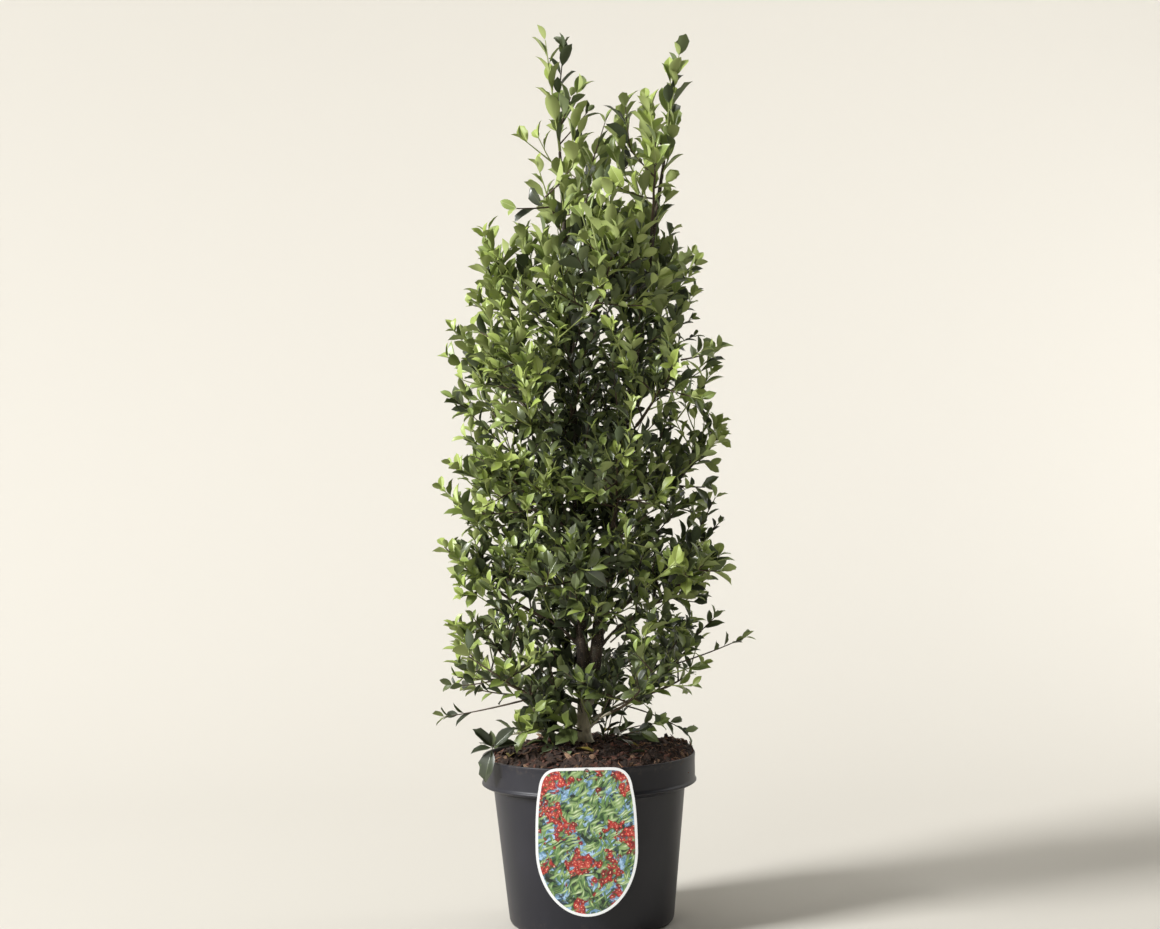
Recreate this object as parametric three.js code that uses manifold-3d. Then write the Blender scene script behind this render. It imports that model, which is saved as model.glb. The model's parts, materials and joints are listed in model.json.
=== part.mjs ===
// A young holly grown as a slim column in a round ten-litre nursery pot.
// Millimetres, +Z up. The origin is the centre of the pot's flat underside,
// +X is the plant's right and -Y is its front.
import * as THREE from "three";
import { mergeVertices } from "three/addons/utils/BufferGeometryUtils.js";
import Module from "manifold-3d";

const wasm = await Module();
wasm.setup();

const UP = new THREE.Vector3(0, 0, 1);
const GAP = 0.3; // clearance between pieces that meet
const LEAST_FACET = 0.012; // a thinner facet is never left by joining

// Pot: outer radii and heights of the moulded shell
const POT_HEIGHT = 222;
const POT_WALL = 3;
const POT_FLOOR = 4;
const FOOT_RADIUS = 98;
const FOOT_HEIGHT = 9;
const BODY_LOW_RADIUS = 109;
const BODY_TOP_RADIUS = 126;
const BODY_TOP = 179;
const RIM_RADIUS = 140;
const RIM_LOW = 186;
const RIM_FLARE = 1.5; // how far the rim's lower edge stands proud
const RIM_LIP = 2; // rounding of the rim's top edge
const POT_SEGMENTS = 32;
const DRAIN_COUNT = 6;
const DRAIN_RADIUS = 6;
const DRAIN_CIRCLE = 66;
const FOOT_SLOT = { count: 6, width: 20, height: 5, depth: 16 };

// Compost: a rough mound that fills the pot and is heaped up on the right
const MOUND_EDGE = 213;
const MOUND_TOP = 236;
const MOUND_HEAP = 6;
const MOUND_RINGS = 7;
const MOUND_LUMP = 2.6;
const MOUND_FLAT = 28; // level ground round the trunk

// Label: a flat tag that hooks over the front of the rim
const LABEL = { width: 128, height: 186, low: 38, centre: -5, thick: 0.8, corner: 27, tail: 84 };
const HOOK = { width: 12, drop: 7, thick: 0.8, clear: 1.4 };

// Trunk: foot, fork height and the line it follows up through the crown
const TRUNK_FOOT = MOUND_TOP + GAP;
const TRUNK_LINE = [
  [-6, 0, TRUNK_FOOT], [-5, 1, 292], [-6, 3, 400], [-8, 1, 540],
  [-12, -3, 690], [-16, 0, 850], [-22, 2, 1018],
];
const TRUNK_RADIUS = { foot: 13, butt: 9.6, fork: 6.2, tip: 2.4 };
const TRUNK_MESH = { sides: 8, steps: 26 };
const FLARE_HEIGHT = 10;
const FORK_HEIGHT = 300;

// Right-hand leader: leaves the trunk at the fork and leans away from it
const LEADER_LINE = [
  [-2, 3, 282], [10, 6, 335], [21, 8, 424], [55, 6, 635], [85, 8, 820], [116, 4, 1004],
];
const LEADER_RADIUS = { root: 8, tip: 2.4 };
const LEADER_MESH = { sides: 7, steps: 16 };
const LEADER_SIDE = 0.3; // boughs that head right of this start on the leader

// Crown: middle and radius of the outline at each height
const CROWN = [
  { z: 256, middle: -10, radius: 150 },
  { z: 310, middle: 3, radius: 204 },
  { z: 380, middle: 6, radius: 213 },
  { z: 480, middle: -4, radius: 202 },
  { z: 600, middle: 3, radius: 214 },
  { z: 780, middle: 8, radius: 198 },
  { z: 880, middle: 16, radius: 172 },
  { z: 960, middle: 26, radius: 142 },
  { z: 1040, middle: 38, radius: 122 },
  { z: 1112, middle: 49, radius: 84 },
];
const RIPPLE = 0.06; // how far shoots stand out of the outline or fall short of it
const CENTRE_SHARE = 0.6; // how far out each mass's middle lies
const YOUNG_HEIGHT = 800; // masses above this are this year's light green growth

// Tiers of boughs, from the pot up. Angles are turned from the front to the right.
const TIERS = [
  { name: "skirt", height: 318, count: 5, turn: 24, drop: 66, bare: 0.62, radius: 3.1 },
  { name: "low", height: 436, count: 5, turn: 60, drop: 78, bare: 0.44, radius: 3.6 },
  { name: "middle", height: 562, count: 5, turn: 22, drop: 82, bare: 0.4, radius: 3.5 },
  { name: "upper", height: 692, count: 4, turn: 52, drop: 80, bare: 0.4, radius: 3.2 },
  { name: "high", height: 822, count: 3, turn: 12, drop: 78, bare: 0.38, radius: 2.9 },
  { name: "top", height: 958, count: 3, turn: 62, drop: 70, bare: 0.4, radius: 2.5 },
];
const BOUGH_STAGGER = 6; // height between neighbouring boughs' roots
const BOUGH_TAPER = 0.72;
const BOUGH_ARCH = 0.12;
const BOUGH_ENTRY = 0.42; // how far below its mass's middle a bough ends, as a share of its drop
const BOUGH_SIDES = 5;
const BOUGH_STEPS = 3;
const SIDE_NAMES = [
  "front", "front_right", "right", "back_right", "back", "back_left", "left", "front_left",
];

// The two tips and the shoot that hangs over the rim have spaces of their own
const TIP_RADIUS = 40;
const TIP_MIDDLE = 0.36;
const LEFT_TIP = { top: 1176, lean: -16 };
const RIGHT_TIP = { top: 1160, lean: 26 };
const DROOP = {
  turn: -60, root: 250, over: 254, arch: 8, end: 134, radius: 2.8, out: 158, height: 232, reach: 58,
};
const SMALL_LEAF = 0.74; // leaves of the tips and the hanging shoot, against the rest

// Shoots and leaves. The leaves are larger than life, so that fewer fill the crown.
const SHOOT = { step: 16, rise: 0.05, fall: 0.07, wander: 0.2, spread: 1.1 };
const STEPS_PER_RING = 3;
const STEM_REACH = 0.9; // a mass's stem, as a share of the crown's radius
const SIDE_LENGTH = { root: 84, tip: 50 };
const STEM_RADIUS = { root: 2.6, tip: 1.7 };
const SIDE_RADIUS = { root: 1.3, tip: 1.1 };
const LEAF_ROOM = 20; // left free between a shoot's end and the border of its space
const TWIG_SIDES = 3;
const GOLDEN_TURN = 2.39996;
const LEAF = { least: 48, most: 82, width: 0.52, thick: 0.034, widest: 0.52, keel: 0.3 };
const LEAF_SPREAD = { least: 0.56, most: 1.04 };
const LEAF_LIFT = 0.15; // how far leaves turn up, or down on the hanging shoot
const LEAF_DROP = 0.5;
const LEAF_UPWARD = 0.4; // how far the upper face turns from the shoot's tip to the sky
const LEAF_ROLL = 1.6;
const LEAF_TRIES = 9;
const NEXT_TRY = 1.9;
const LEAVES_PER_NODE = 2;
const LEAVES_PER_MASS = 21;
const BLADE_CLEAR = 8; // a leaf may touch its own twig only this near its root
const SPACE_MARGIN = 0.4;
const LIMB_MARGIN = 0.6;
const POT_MARGIN = 4;
const SEED = 101;

const FINISH = {
  pot: { color: 0x232426, roughness: 0.5, metalness: 0 },
  compost: { color: 0x35221a, roughness: 1, metalness: 0 },
  label: { color: 0xe9ecea, roughness: 0.4, metalness: 0 },
  bark: { color: 0x5d4c3d, roughness: 0.85, metalness: 0 },
  young: { color: 0x7d9440, roughness: 0.45, metalness: 0 },
  mature: { color: 0x3d5a2a, roughness: 0.45, metalness: 0 },
};

const group = new THREE.Group();

function addPiece(name, geometry, finish) {
  const mesh = new THREE.Mesh(geometry, new THREE.MeshStandardMaterial(finish));
  mesh.name = name;
  group.add(mesh);
}

// ---- Solids: joining, cutting and turning back into geometry ----

function toSolid(geometry) {
  const bare = geometry.clone();
  bare.deleteAttribute("normal");
  bare.deleteAttribute("uv");
  const merged = mergeVertices(bare, 1e-4);
  const corners = merged.index.array;
  const triangles = [];
  for (let i = 0; i < corners.length; i += 3) {
    const [a, b, c] = corners.slice(i, i + 3);
    if (a !== b && b !== c && c !== a) {
      triangles.push(a, b, c);
    }
  }
  return new wasm.Manifold(new wasm.Mesh({
    numProp: 3,
    vertProperties: Float32Array.from(merged.attributes.position.array),
    triVerts: Uint32Array.from(triangles),
  }));
}

function toGeometry(solid) {
  const mesh = solid.getMesh();
  const geometry = new THREE.BufferGeometry();
  geometry.setAttribute("position", new THREE.BufferAttribute(mesh.vertProperties, 3));
  geometry.setIndex(new THREE.BufferAttribute(mesh.triVerts, 1));
  geometry.computeVertexNormals();
  return geometry;
}

// The largest body alone: scraps are dropped and sealed hollows are filled.
function mainBody(solid) {
  let best = null;
  for (const body of solid.decompose()) {
    if (best === null || body.volume() > best.volume()) {
      best = body;
    }
  }
  return best;
}

function meets(solid, other) {
  return !solid.intersect(other).isEmpty();
}

// The solids joined, or null where the join would leave a needle-thin facet.
function joined(solid, other) {
  const both = solid.add(other);
  const mesh = both.getMesh();
  const facet = new THREE.Triangle();
  const corners = [facet.a, facet.b, facet.c];
  for (let i = 0; i < mesh.triVerts.length; i += 3) {
    corners.forEach((corner, k) => {
      corner.fromArray(mesh.vertProperties, mesh.triVerts[i + k] * 3);
    });
    const edges = [facet.a.distanceTo(facet.b), facet.b.distanceTo(facet.c), facet.c.distanceTo(facet.a)];
    if (2 * facet.getArea() / Math.max(...edges) < LEAST_FACET) {
      return null;
    }
  }
  return both;
}

// ---- Shared shapes ----

function seededRandom(seed) {
  let state = seed;
  return () => {
    state = (state + 0x6d2b79f5) | 0;
    let mixed = Math.imul(state ^ (state >>> 15), 1 | state);
    mixed = (mixed + Math.imul(mixed ^ (mixed >>> 7), 61 | mixed)) ^ mixed;
    return ((mixed ^ (mixed >>> 14)) >>> 0) / 4294967296;
  };
}

// A closed cylinder bent along a curve, with its radius given along the way.
function limbGeometry(curve, radiusAt, sides, steps) {
  const geometry = new THREE.CylinderGeometry(1, 1, 1, sides, steps);
  const frames = curve.computeFrenetFrames(steps, false);
  const centres = curve.getSpacedPoints(steps);
  const position = geometry.attributes.position;
  const vertex = new THREE.Vector3();
  for (let i = 0; i < position.count; i += 1) {
    vertex.fromBufferAttribute(position, i);
    const step = Math.round((vertex.y + 0.5) * steps);
    const radius = radiusAt(step / steps);
    const point = centres[step].clone();
    point.addScaledVector(frames.binormals[step], vertex.x * radius);
    point.addScaledVector(frames.normals[step], vertex.z * radius);
    position.setXYZ(i, point.x, point.y, point.z);
  }
  return geometry;
}

function lineCurve(points) {
  return new THREE.CatmullRomCurve3(points.map((point) => new THREE.Vector3(...point)));
}

function latheGeometry(path, segments) {
  const geometry = new THREE.LatheGeometry(path.getPoints(3), segments);
  geometry.rotateX(Math.PI / 2);
  return geometry;
}

// A level direction, turned from the front (-Y) towards the right (+X).
function levelDirection(turn) {
  return new THREE.Vector3(Math.sin(turn), -Math.cos(turn), 0);
}

// The point of a rising curve at a given height.
function pointAtHeight(curve, height) {
  let low = 0;
  let high = 1;
  for (let i = 0; i < 30; i += 1) {
    const middle = (low + high) / 2;
    if (curve.getPointAt(middle).z < height) {
      low = middle;
    } else {
      high = middle;
    }
  }
  return curve.getPointAt(low);
}

// ---- Pot, compost and label ----

function potSolid() {
  const outline = new THREE.Path();
  const innerRim = RIM_RADIUS - POT_WALL;
  outline.moveTo(0, 0);
  outline.lineTo(FOOT_RADIUS, 0);
  outline.quadraticCurveTo(BODY_LOW_RADIUS - 1, 0, BODY_LOW_RADIUS, FOOT_HEIGHT);
  outline.lineTo(BODY_TOP_RADIUS, BODY_TOP);
  outline.lineTo(RIM_RADIUS - 1, RIM_LOW - 2);
  outline.lineTo(RIM_RADIUS + RIM_FLARE, RIM_LOW);
  outline.lineTo(RIM_RADIUS, RIM_LOW + 4);
  outline.lineTo(RIM_RADIUS, POT_HEIGHT - RIM_LIP);
  outline.quadraticCurveTo(RIM_RADIUS, POT_HEIGHT, RIM_RADIUS - RIM_LIP / 2, POT_HEIGHT);
  outline.lineTo(innerRim, POT_HEIGHT);
  outline.lineTo(innerRim, RIM_LOW + 1);
  outline.lineTo(BODY_TOP_RADIUS - POT_WALL, BODY_TOP + 1);
  outline.lineTo(BODY_LOW_RADIUS - POT_WALL, FOOT_HEIGHT);
  outline.lineTo(FOOT_RADIUS, POT_FLOOR);
  outline.lineTo(0, POT_FLOOR);
  let solid = toSolid(latheGeometry(outline, POT_SEGMENTS));
  for (let i = 0; i < DRAIN_COUNT; i += 1) {
    const place = levelDirection((i + 0.5) * 2 * Math.PI / DRAIN_COUNT).multiplyScalar(DRAIN_CIRCLE);
    const drain = new THREE.CylinderGeometry(DRAIN_RADIUS, DRAIN_RADIUS, POT_FLOOR * 3, 10);
    drain.rotateX(Math.PI / 2).translate(place.x, place.y, 0);
    solid = solid.subtract(toSolid(drain));
  }
  return solid.subtract(footSlots());
}

// Slots moulded into the edge of the foot, so that water runs out from under it.
function footSlots() {
  let slots = null;
  for (let i = 0; i < FOOT_SLOT.count; i += 1) {
    const turn = i * 2 * Math.PI / FOOT_SLOT.count;
    const slot = new THREE.BoxGeometry(FOOT_SLOT.width, FOOT_SLOT.depth, FOOT_SLOT.height);
    slot.translate(0, -FOOT_RADIUS - FOOT_SLOT.depth / 2 + 3, 0).rotateZ(turn);
    slots = slots ? slots.add(toSolid(slot)) : toSolid(slot);
  }
  return slots;
}

// The room that pot and compost take up, which foliage stays out of.
function potGuard() {
  const radius = RIM_RADIUS + POT_MARGIN;
  const height = MOUND_TOP + POT_MARGIN;
  const guard = new THREE.CylinderGeometry(radius, radius, height, POT_SEGMENTS);
  guard.rotateX(Math.PI / 2).translate(0, 0, height / 2);
  return toSolid(guard);
}

function moundHeight(x, y) {
  const out = Math.hypot(x, y) / (RIM_RADIUS - POT_WALL);
  const edge = MOUND_EDGE + MOUND_HEAP * x / RIM_RADIUS;
  const swell = edge + (MOUND_TOP - edge) * (1 - out ** 4);
  const fromTrunk = Math.hypot(x - TRUNK_LINE[0][0], y - TRUNK_LINE[0][1]);
  const rough = THREE.MathUtils.smoothstep(fromTrunk, MOUND_FLAT, MOUND_FLAT * 2);
  const lump = Math.sin(x * 0.11 + 2) * Math.cos(y * 0.13) + 0.6 * Math.sin(x * 0.23 - y * 0.19);
  return THREE.MathUtils.lerp(MOUND_TOP, swell + lump * MOUND_LUMP * (1 - out ** 6), rough);
}

function compostSolid() {
  const outline = new THREE.Path();
  const inner = POT_WALL + GAP;
  const topRadius = RIM_RADIUS - inner;
  outline.moveTo(0, POT_FLOOR + GAP);
  outline.lineTo(FOOT_RADIUS - 1, POT_FLOOR + GAP);
  outline.lineTo(BODY_LOW_RADIUS - inner - 0.1, FOOT_HEIGHT + 1);
  outline.lineTo(BODY_TOP_RADIUS - inner - 0.1, BODY_TOP + 1);
  outline.lineTo(topRadius, RIM_LOW + 3);
  for (let ring = MOUND_RINGS; ring >= 0; ring -= 1) {
    outline.lineTo(topRadius * ring / MOUND_RINGS, MOUND_EDGE);
  }
  const geometry = latheGeometry(outline, POT_SEGMENTS);
  const position = geometry.attributes.position;
  for (let i = 0; i < position.count; i += 1) {
    if (position.getZ(i) > MOUND_EDGE - 1) {
      position.setZ(i, moundHeight(position.getX(i), position.getY(i)));
    }
  }
  return toSolid(geometry);
}

function labelSolid() {
  const half = LABEL.width / 2;
  const top = LABEL.height;
  const shape = new THREE.Shape();
  shape.moveTo(-half, LABEL.tail);
  shape.absellipse(0, LABEL.tail, half, LABEL.tail, Math.PI, 2 * Math.PI, false);
  shape.quadraticCurveTo(half, top - LABEL.corner * 1.5, half - 3, top - LABEL.corner);
  shape.quadraticCurveTo(half - 3, top, half - LABEL.corner, top);
  shape.lineTo(LABEL.corner - half, top);
  shape.quadraticCurveTo(3 - half, top, 3 - half, top - LABEL.corner);
  shape.quadraticCurveTo(-half, top - LABEL.corner * 1.5, -half, LABEL.tail);
  const plate = new THREE.ExtrudeGeometry(shape, {
    depth: LABEL.thick, bevelEnabled: false, curveSegments: 8,
  });
  const back = -RIM_RADIUS - RIM_FLARE - GAP;
  plate.rotateX(Math.PI / 2).translate(LABEL.centre, back, LABEL.low);
  return toSolid(plate).add(hookSolid(back));
}

// A narrow strap from the label's top, over the rim and down inside it.
function hookSolid(back) {
  const inside = -RIM_RADIUS + POT_WALL + HOOK.clear;
  const over = POT_HEIGHT + GAP;
  const strap = new THREE.Shape();
  strap.moveTo(back - HOOK.thick, over - HOOK.drop);
  strap.lineTo(back, over - HOOK.drop);
  strap.lineTo(back, over);
  strap.lineTo(inside, over);
  strap.lineTo(inside, over - HOOK.drop);
  strap.lineTo(inside + HOOK.thick, over - HOOK.drop);
  strap.lineTo(inside + HOOK.thick, over + HOOK.thick);
  strap.lineTo(back - HOOK.thick, over + HOOK.thick);
  const geometry = new THREE.ExtrudeGeometry(strap, { depth: HOOK.width, bevelEnabled: false });
  geometry.rotateX(Math.PI / 2).rotateZ(Math.PI / 2);
  geometry.translate(LABEL.centre - HOOK.width / 2, 0, 0);
  return toSolid(geometry);
}

// ---- Trunk, leader and boughs ----

const trunkCurve = lineCurve(TRUNK_LINE);
const leaderCurve = lineCurve(LEADER_LINE);

function trunkRadius(along) {
  const { foot, butt, fork, tip } = TRUNK_RADIUS;
  const height = along * trunkCurve.getLength();
  const toFork = (FORK_HEIGHT - TRUNK_FOOT) / trunkCurve.getLength();
  const flare = (foot - butt) * Math.exp(-height / FLARE_HEIGHT);
  if (along < toFork) {
    return flare + THREE.MathUtils.lerp(butt, fork, (along / toFork) ** 2);
  }
  return flare + THREE.MathUtils.lerp(fork, tip, (along - toFork) / (1 - toFork));
}

function trunkSolid(extra) {
  const radiusAt = (along) => trunkRadius(along) + extra;
  const geometry = limbGeometry(trunkCurve, radiusAt, TRUNK_MESH.sides, TRUNK_MESH.steps);
  const position = geometry.attributes.position;
  for (let i = 0; i < position.count; i += 1) {
    if (Math.abs(position.getZ(i) - TRUNK_FOOT) < 2) {
      position.setZ(i, TRUNK_FOOT); // the flat cut at ground level
    }
  }
  return toSolid(geometry);
}

function leaderSolid(extra) {
  const { root, tip } = LEADER_RADIUS;
  const radiusAt = (along) => THREE.MathUtils.lerp(root, tip, along) + extra;
  return toSolid(limbGeometry(leaderCurve, radiusAt, LEADER_MESH.sides, LEADER_MESH.steps));
}

function crownAt(height) {
  const last = CROWN.length - 1;
  const z = THREE.MathUtils.clamp(height, CROWN[0].z, CROWN[last].z);
  let i = 1;
  while (CROWN[i].z < z) {
    i += 1;
  }
  const below = CROWN[i - 1];
  const above = CROWN[i];
  const share = (z - below.z) / (above.z - below.z);
  return {
    middle: THREE.MathUtils.lerp(below.middle, above.middle, share),
    radius: THREE.MathUtils.lerp(below.radius, above.radius, share),
  };
}

function inCrown(point) {
  if (point.z < CROWN[0].z || point.z > CROWN[CROWN.length - 1].z) {
    return false;
  }
  const level = crownAt(point.z);
  const turn = Math.atan2(point.x - level.middle, -point.y);
  const ripple = 1 + RIPPLE * Math.sin(3 * turn + point.z / 23) * Math.cos(2 * turn - point.z / 37);
  return Math.hypot(point.x - level.middle, point.y) < level.radius * ripple;
}

function sideName(turn) {
  const eighths = Math.round(turn / (Math.PI / 4));
  return SIDE_NAMES[((eighths % 8) + 8) % 8];
}

// One bough of a tier: where it starts, the curve it follows and the mass that it carries.
function planBough(tier, i) {
  const turn = THREE.MathUtils.degToRad(tier.turn + i * 360 / tier.count);
  const out = levelDirection(turn);
  const level = crownAt(tier.height);
  const height = tier.height + ((i * 2) % tier.count - 1) * BOUGH_STAGGER;
  const centre = new THREE.Vector3(level.middle, 0, height);
  centre.addScaledVector(out, level.radius * CENTRE_SHARE);
  const onLeader = out.x > LEADER_SIDE && height - tier.drop > FORK_HEIGHT + 30;
  const stem = onLeader ? leaderCurve : trunkCurve;
  const root = pointAtHeight(stem, height - tier.drop);
  const end = root.clone().lerp(centre, tier.bare);
  end.z = height - tier.drop * BOUGH_ENTRY;
  const bend = root.clone().lerp(end, 0.5);
  bend.z += tier.drop * BOUGH_ARCH;
  return {
    name: `${tier.name}_${sideName(turn)}`,
    centre,
    onLeader,
    radius: tier.radius,
    curve: new THREE.QuadraticBezierCurve3(root, bend, end),
    inSpace: inCrown,
    reach: level.radius * STEM_REACH,
    leafScale: 1,
    finish: tier.height > YOUNG_HEIGHT ? FINISH.young : FINISH.mature,
  };
}

function planDroop() {
  const out = levelDirection(THREE.MathUtils.degToRad(DROOP.turn));
  const root = pointAtHeight(trunkCurve, DROOP.root);
  const end = out.clone().multiplyScalar(DROOP.end).setZ(DROOP.over);
  const bend = root.clone().lerp(end, 0.5).setZ(DROOP.over + DROOP.arch);
  const centre = out.clone().multiplyScalar(DROOP.out).setZ(DROOP.height);
  return {
    name: "droop",
    centre,
    onLeader: false,
    radius: DROOP.radius,
    curve: new THREE.QuadraticBezierCurve3(root, bend, end),
    inSpace: (point) => point.distanceTo(centre) < DROOP.reach,
    reach: DROOP.reach,
    falls: true,
    leafScale: SMALL_LEAF,
    finish: FINISH.mature,
  };
}

// A tip mass stands on the end of the trunk or leader, in a column of its own.
function planTip(name, curve, size) {
  const foot = curve.getPointAt(1);
  const top = foot.clone().setZ(size.top);
  top.x += size.lean;
  const column = new THREE.Line3(foot, top);
  const nearest = new THREE.Vector3();
  return {
    name,
    centre: foot.clone().lerp(top, TIP_MIDDLE),
    start: foot,
    heading: curve.getTangentAt(1),
    inSpace: (point) => {
      column.closestPointToPoint(point, false, nearest);
      return point.distanceTo(nearest) < TIP_RADIUS && point.z < size.top;
    },
    reach: foot.distanceTo(top),
    leafScale: SMALL_LEAF,
    finish: FINISH.young,
  };
}

function boughSolid(plan, extra) {
  const radiusAt = (along) => plan.radius * THREE.MathUtils.lerp(1, BOUGH_TAPER, along) + extra;
  return toSolid(limbGeometry(plan.curve, radiusAt, BOUGH_SIDES, BOUGH_STEPS));
}

// ---- Foliage masses ----

// Whether a point is nearer to its own mass's middle than to any other's.
function inOwnCell(point, plan, plans) {
  const own = point.distanceToSquared(plan.centre);
  for (const other of plans) {
    if (other !== plan) {
      const spacing = other.centre.distanceTo(plan.centre);
      const toBorder = (point.distanceToSquared(other.centre) - own) / (2 * spacing);
      if (toBorder < SPACE_MARGIN) {
        return false;
      }
    }
  }
  return plan.inSpace(point);
}

function leafCorners(leaf) {
  const side = new THREE.Vector3().crossVectors(leaf.heading, leaf.face);
  const across = leaf.length * LEAF.width / 2;
  const thick = leaf.length * LEAF.thick / 2;
  const along = (share) => leaf.root.clone().addScaledVector(leaf.heading, leaf.length * share);
  return {
    tip: along(1),
    root: along(0),
    left: along(LEAF.widest).addScaledVector(side, -across),
    right: along(LEAF.widest).addScaledVector(side, across),
    upper: along(LEAF.keel).addScaledVector(leaf.face, thick),
    lower: along(LEAF.keel).addScaledVector(leaf.face, -thick),
  };
}

// An octahedron drawn out into a leaf: root, tip, two edges, upper face and keel.
function leafSolid(corners) {
  const geometry = new THREE.OctahedronGeometry(1);
  const position = geometry.attributes.position;
  const vertex = new THREE.Vector3();
  for (let i = 0; i < position.count; i += 1) {
    vertex.fromBufferAttribute(position, i);
    let corner = vertex.z > 0 ? corners.upper : corners.lower;
    if (Math.abs(vertex.x) > 0.5) {
      corner = vertex.x > 0 ? corners.right : corners.left;
    }
    if (Math.abs(vertex.y) > 0.5) {
      corner = vertex.y > 0 ? corners.tip : corners.root;
    }
    position.setXYZ(i, corner.x, corner.y, corner.z);
  }
  return toSolid(geometry);
}

function squareTo(direction, axis) {
  return direction.clone().addScaledVector(axis, -direction.dot(axis)).normalize();
}

// A direction that leaves the axis at an angle, turned about it.
function branchDirection(axis, turn, spread) {
  const level = Math.abs(axis.z) > 0.9 ? new THREE.Vector3(1, 0, 0) : UP;
  const across = squareTo(level, axis);
  across.applyAxisAngle(axis, turn);
  return axis.clone().multiplyScalar(Math.cos(spread)).addScaledVector(across, Math.sin(spread));
}

// The points of one shoot: each step turns a little upwards and wanders a little.
function shootPoints(shoot, plan, plans, random) {
  const points = [shoot.start.clone()];
  const heading = shoot.heading.clone();
  const steps = Math.round(shoot.length / SHOOT.step);
  for (let i = 0; i < steps; i += 1) {
    const next = points[i].clone().addScaledVector(heading, SHOOT.step);
    const ahead = next.clone().addScaledVector(heading, LEAF_ROOM);
    if (!inOwnCell(ahead, plan, plans)) {
      break;
    }
    points.push(next);
    heading.z += plan.falls ? -SHOOT.fall : SHOOT.rise;
    heading.x += (random() - 0.5) * SHOOT.wander;
    heading.y += (random() - 0.5) * SHOOT.wander;
    heading.normalize();
  }
  return points;
}

function twigSolid(points, radius) {
  const curve = new THREE.CatmullRomCurve3(points);
  const radiusAt = (along) => THREE.MathUtils.lerp(radius.root, radius.tip, along);
  const rings = Math.max(1, Math.round((points.length - 1) / STEPS_PER_RING));
  return toSolid(limbGeometry(curve, radiusAt, TWIG_SIDES, rings));
}

// Adds one leaf at a node of a shoot, turned on until it has room, and says if it had.
function placeLeaf({ place, axis, turn }, mass, random) {
  for (let attempt = 0; attempt < LEAF_TRIES; attempt += 1) {
    const spread = THREE.MathUtils.lerp(LEAF_SPREAD.least, LEAF_SPREAD.most, random());
    const heading = branchDirection(axis, turn + attempt * NEXT_TRY, spread);
    heading.z += mass.plan.falls ? -LEAF_DROP : LEAF_LIFT;
    heading.normalize();
    const facing = axis.clone().lerp(UP, LEAF_UPWARD);
    facing.applyAxisAngle(heading, (random() - 0.5) * LEAF_ROLL);
    const size = THREE.MathUtils.lerp(LEAF.most, LEAF.least, (attempt + random()) / LEAF_TRIES);
    const length = size * mass.plan.leafScale;
    const leaf = { root: place, heading, face: squareTo(facing, heading), length };
    const corners = leafCorners(leaf);
    const outer = Object.values(corners).filter((corner) => corner !== corners.root);
    if (!outer.every((corner) => inOwnCell(corner, mass.plan, mass.plans))) {
      continue;
    }
    const solid = leafSolid(corners);
    const clearOfTwig = place.clone().addScaledVector(heading, BLADE_CLEAR);
    const blade = leafSolid({ ...corners, root: clearOfTwig });
    if (!meets(solid, mass.keepOut) && !meets(blade, mass.solid)) {
      const grown = joined(mass.solid, solid);
      if (grown !== null) {
        mass.solid = grown;
        return true;
      }
    }
  }
  return false;
}

function growShoot(shoot, mass, random) {
  const points = shootPoints(shoot, mass.plan, mass.plans, random);
  if (points.length < 2) {
    return;
  }
  const twig = twigSolid(points, shoot.order === 0 ? STEM_RADIUS : SIDE_RADIUS);
  if (meets(twig, mass.keepOut)) {
    return;
  }
  const grown = mass.solid ? joined(mass.solid, twig) : twig;
  if (grown === null) {
    return;
  }
  mass.solid = grown;
  const last = points.length - 1;
  for (let i = 1; i <= last; i += 1) {
    const axis = points[i].clone().sub(points[i - 1]).normalize();
    const turn = shoot.turn + i * GOLDEN_TURN;
    if (shoot.order === 0 && i % 2 === 1 && i < last) {
      const length = THREE.MathUtils.lerp(SIDE_LENGTH.root, SIDE_LENGTH.tip, i / last);
      const heading = branchDirection(axis, turn, SHOOT.spread);
      mass.shoots.push({ start: points[i], heading, length, turn, order: 1 });
    }
    for (let leaf = 1; leaf <= LEAVES_PER_NODE; leaf += 1) {
      const place = points[i].clone().addScaledVector(axis, -1.5 * leaf);
      mass.nodes.push({ place, axis, turn: turn + leaf * Math.PI / 2 });
    }
  }
}

function growMass(plan, plans, keepOut, seed) {
  const random = seededRandom(seed);
  const mass = { plan, plans, keepOut, solid: null, shoots: [], nodes: [], leaves: 0 };
  const start = plan.start.clone().addScaledVector(plan.heading, GAP);
  mass.shoots.push({ start, heading: plan.heading, length: plan.reach, turn: seed, order: 0 });
  while (mass.shoots.length > 0) {
    growShoot(mass.shoots.shift(), mass, random);
  }
  while (mass.nodes.length > 0 && mass.leaves < LEAVES_PER_MASS) {
    const [node] = mass.nodes.splice(Math.floor(random() * mass.nodes.length), 1);
    if (placeLeaf(node, mass, random)) {
      mass.leaves += 1;
    }
  }
  return mass;
}

// ---- The whole plant ----

const pot = potSolid();
const compost = compostSolid();
const label = labelSolid();
const trunk = trunkSolid(0);
const trunkGuard = trunkSolid(GAP);
const leader = mainBody(leaderSolid(0).subtract(trunkGuard));
const leaderGuard = leaderSolid(GAP);

const boughs = [];
for (const tier of TIERS) {
  for (let i = 0; i < tier.count; i += 1) {
    boughs.push(planBough(tier, i));
  }
}
boughs.push(planDroop());
for (const bough of boughs) {
  bough.start = bough.curve.getPointAt(1);
  bough.heading = bough.curve.getTangentAt(1);
}
const plans = [
  ...boughs,
  planTip("left_tip", trunkCurve, LEFT_TIP),
  planTip("right_tip", leaderCurve, RIGHT_TIP),
];

let keepOut = potGuard().add(label).add(trunkSolid(LIMB_MARGIN)).add(leaderSolid(LIMB_MARGIN));

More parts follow.
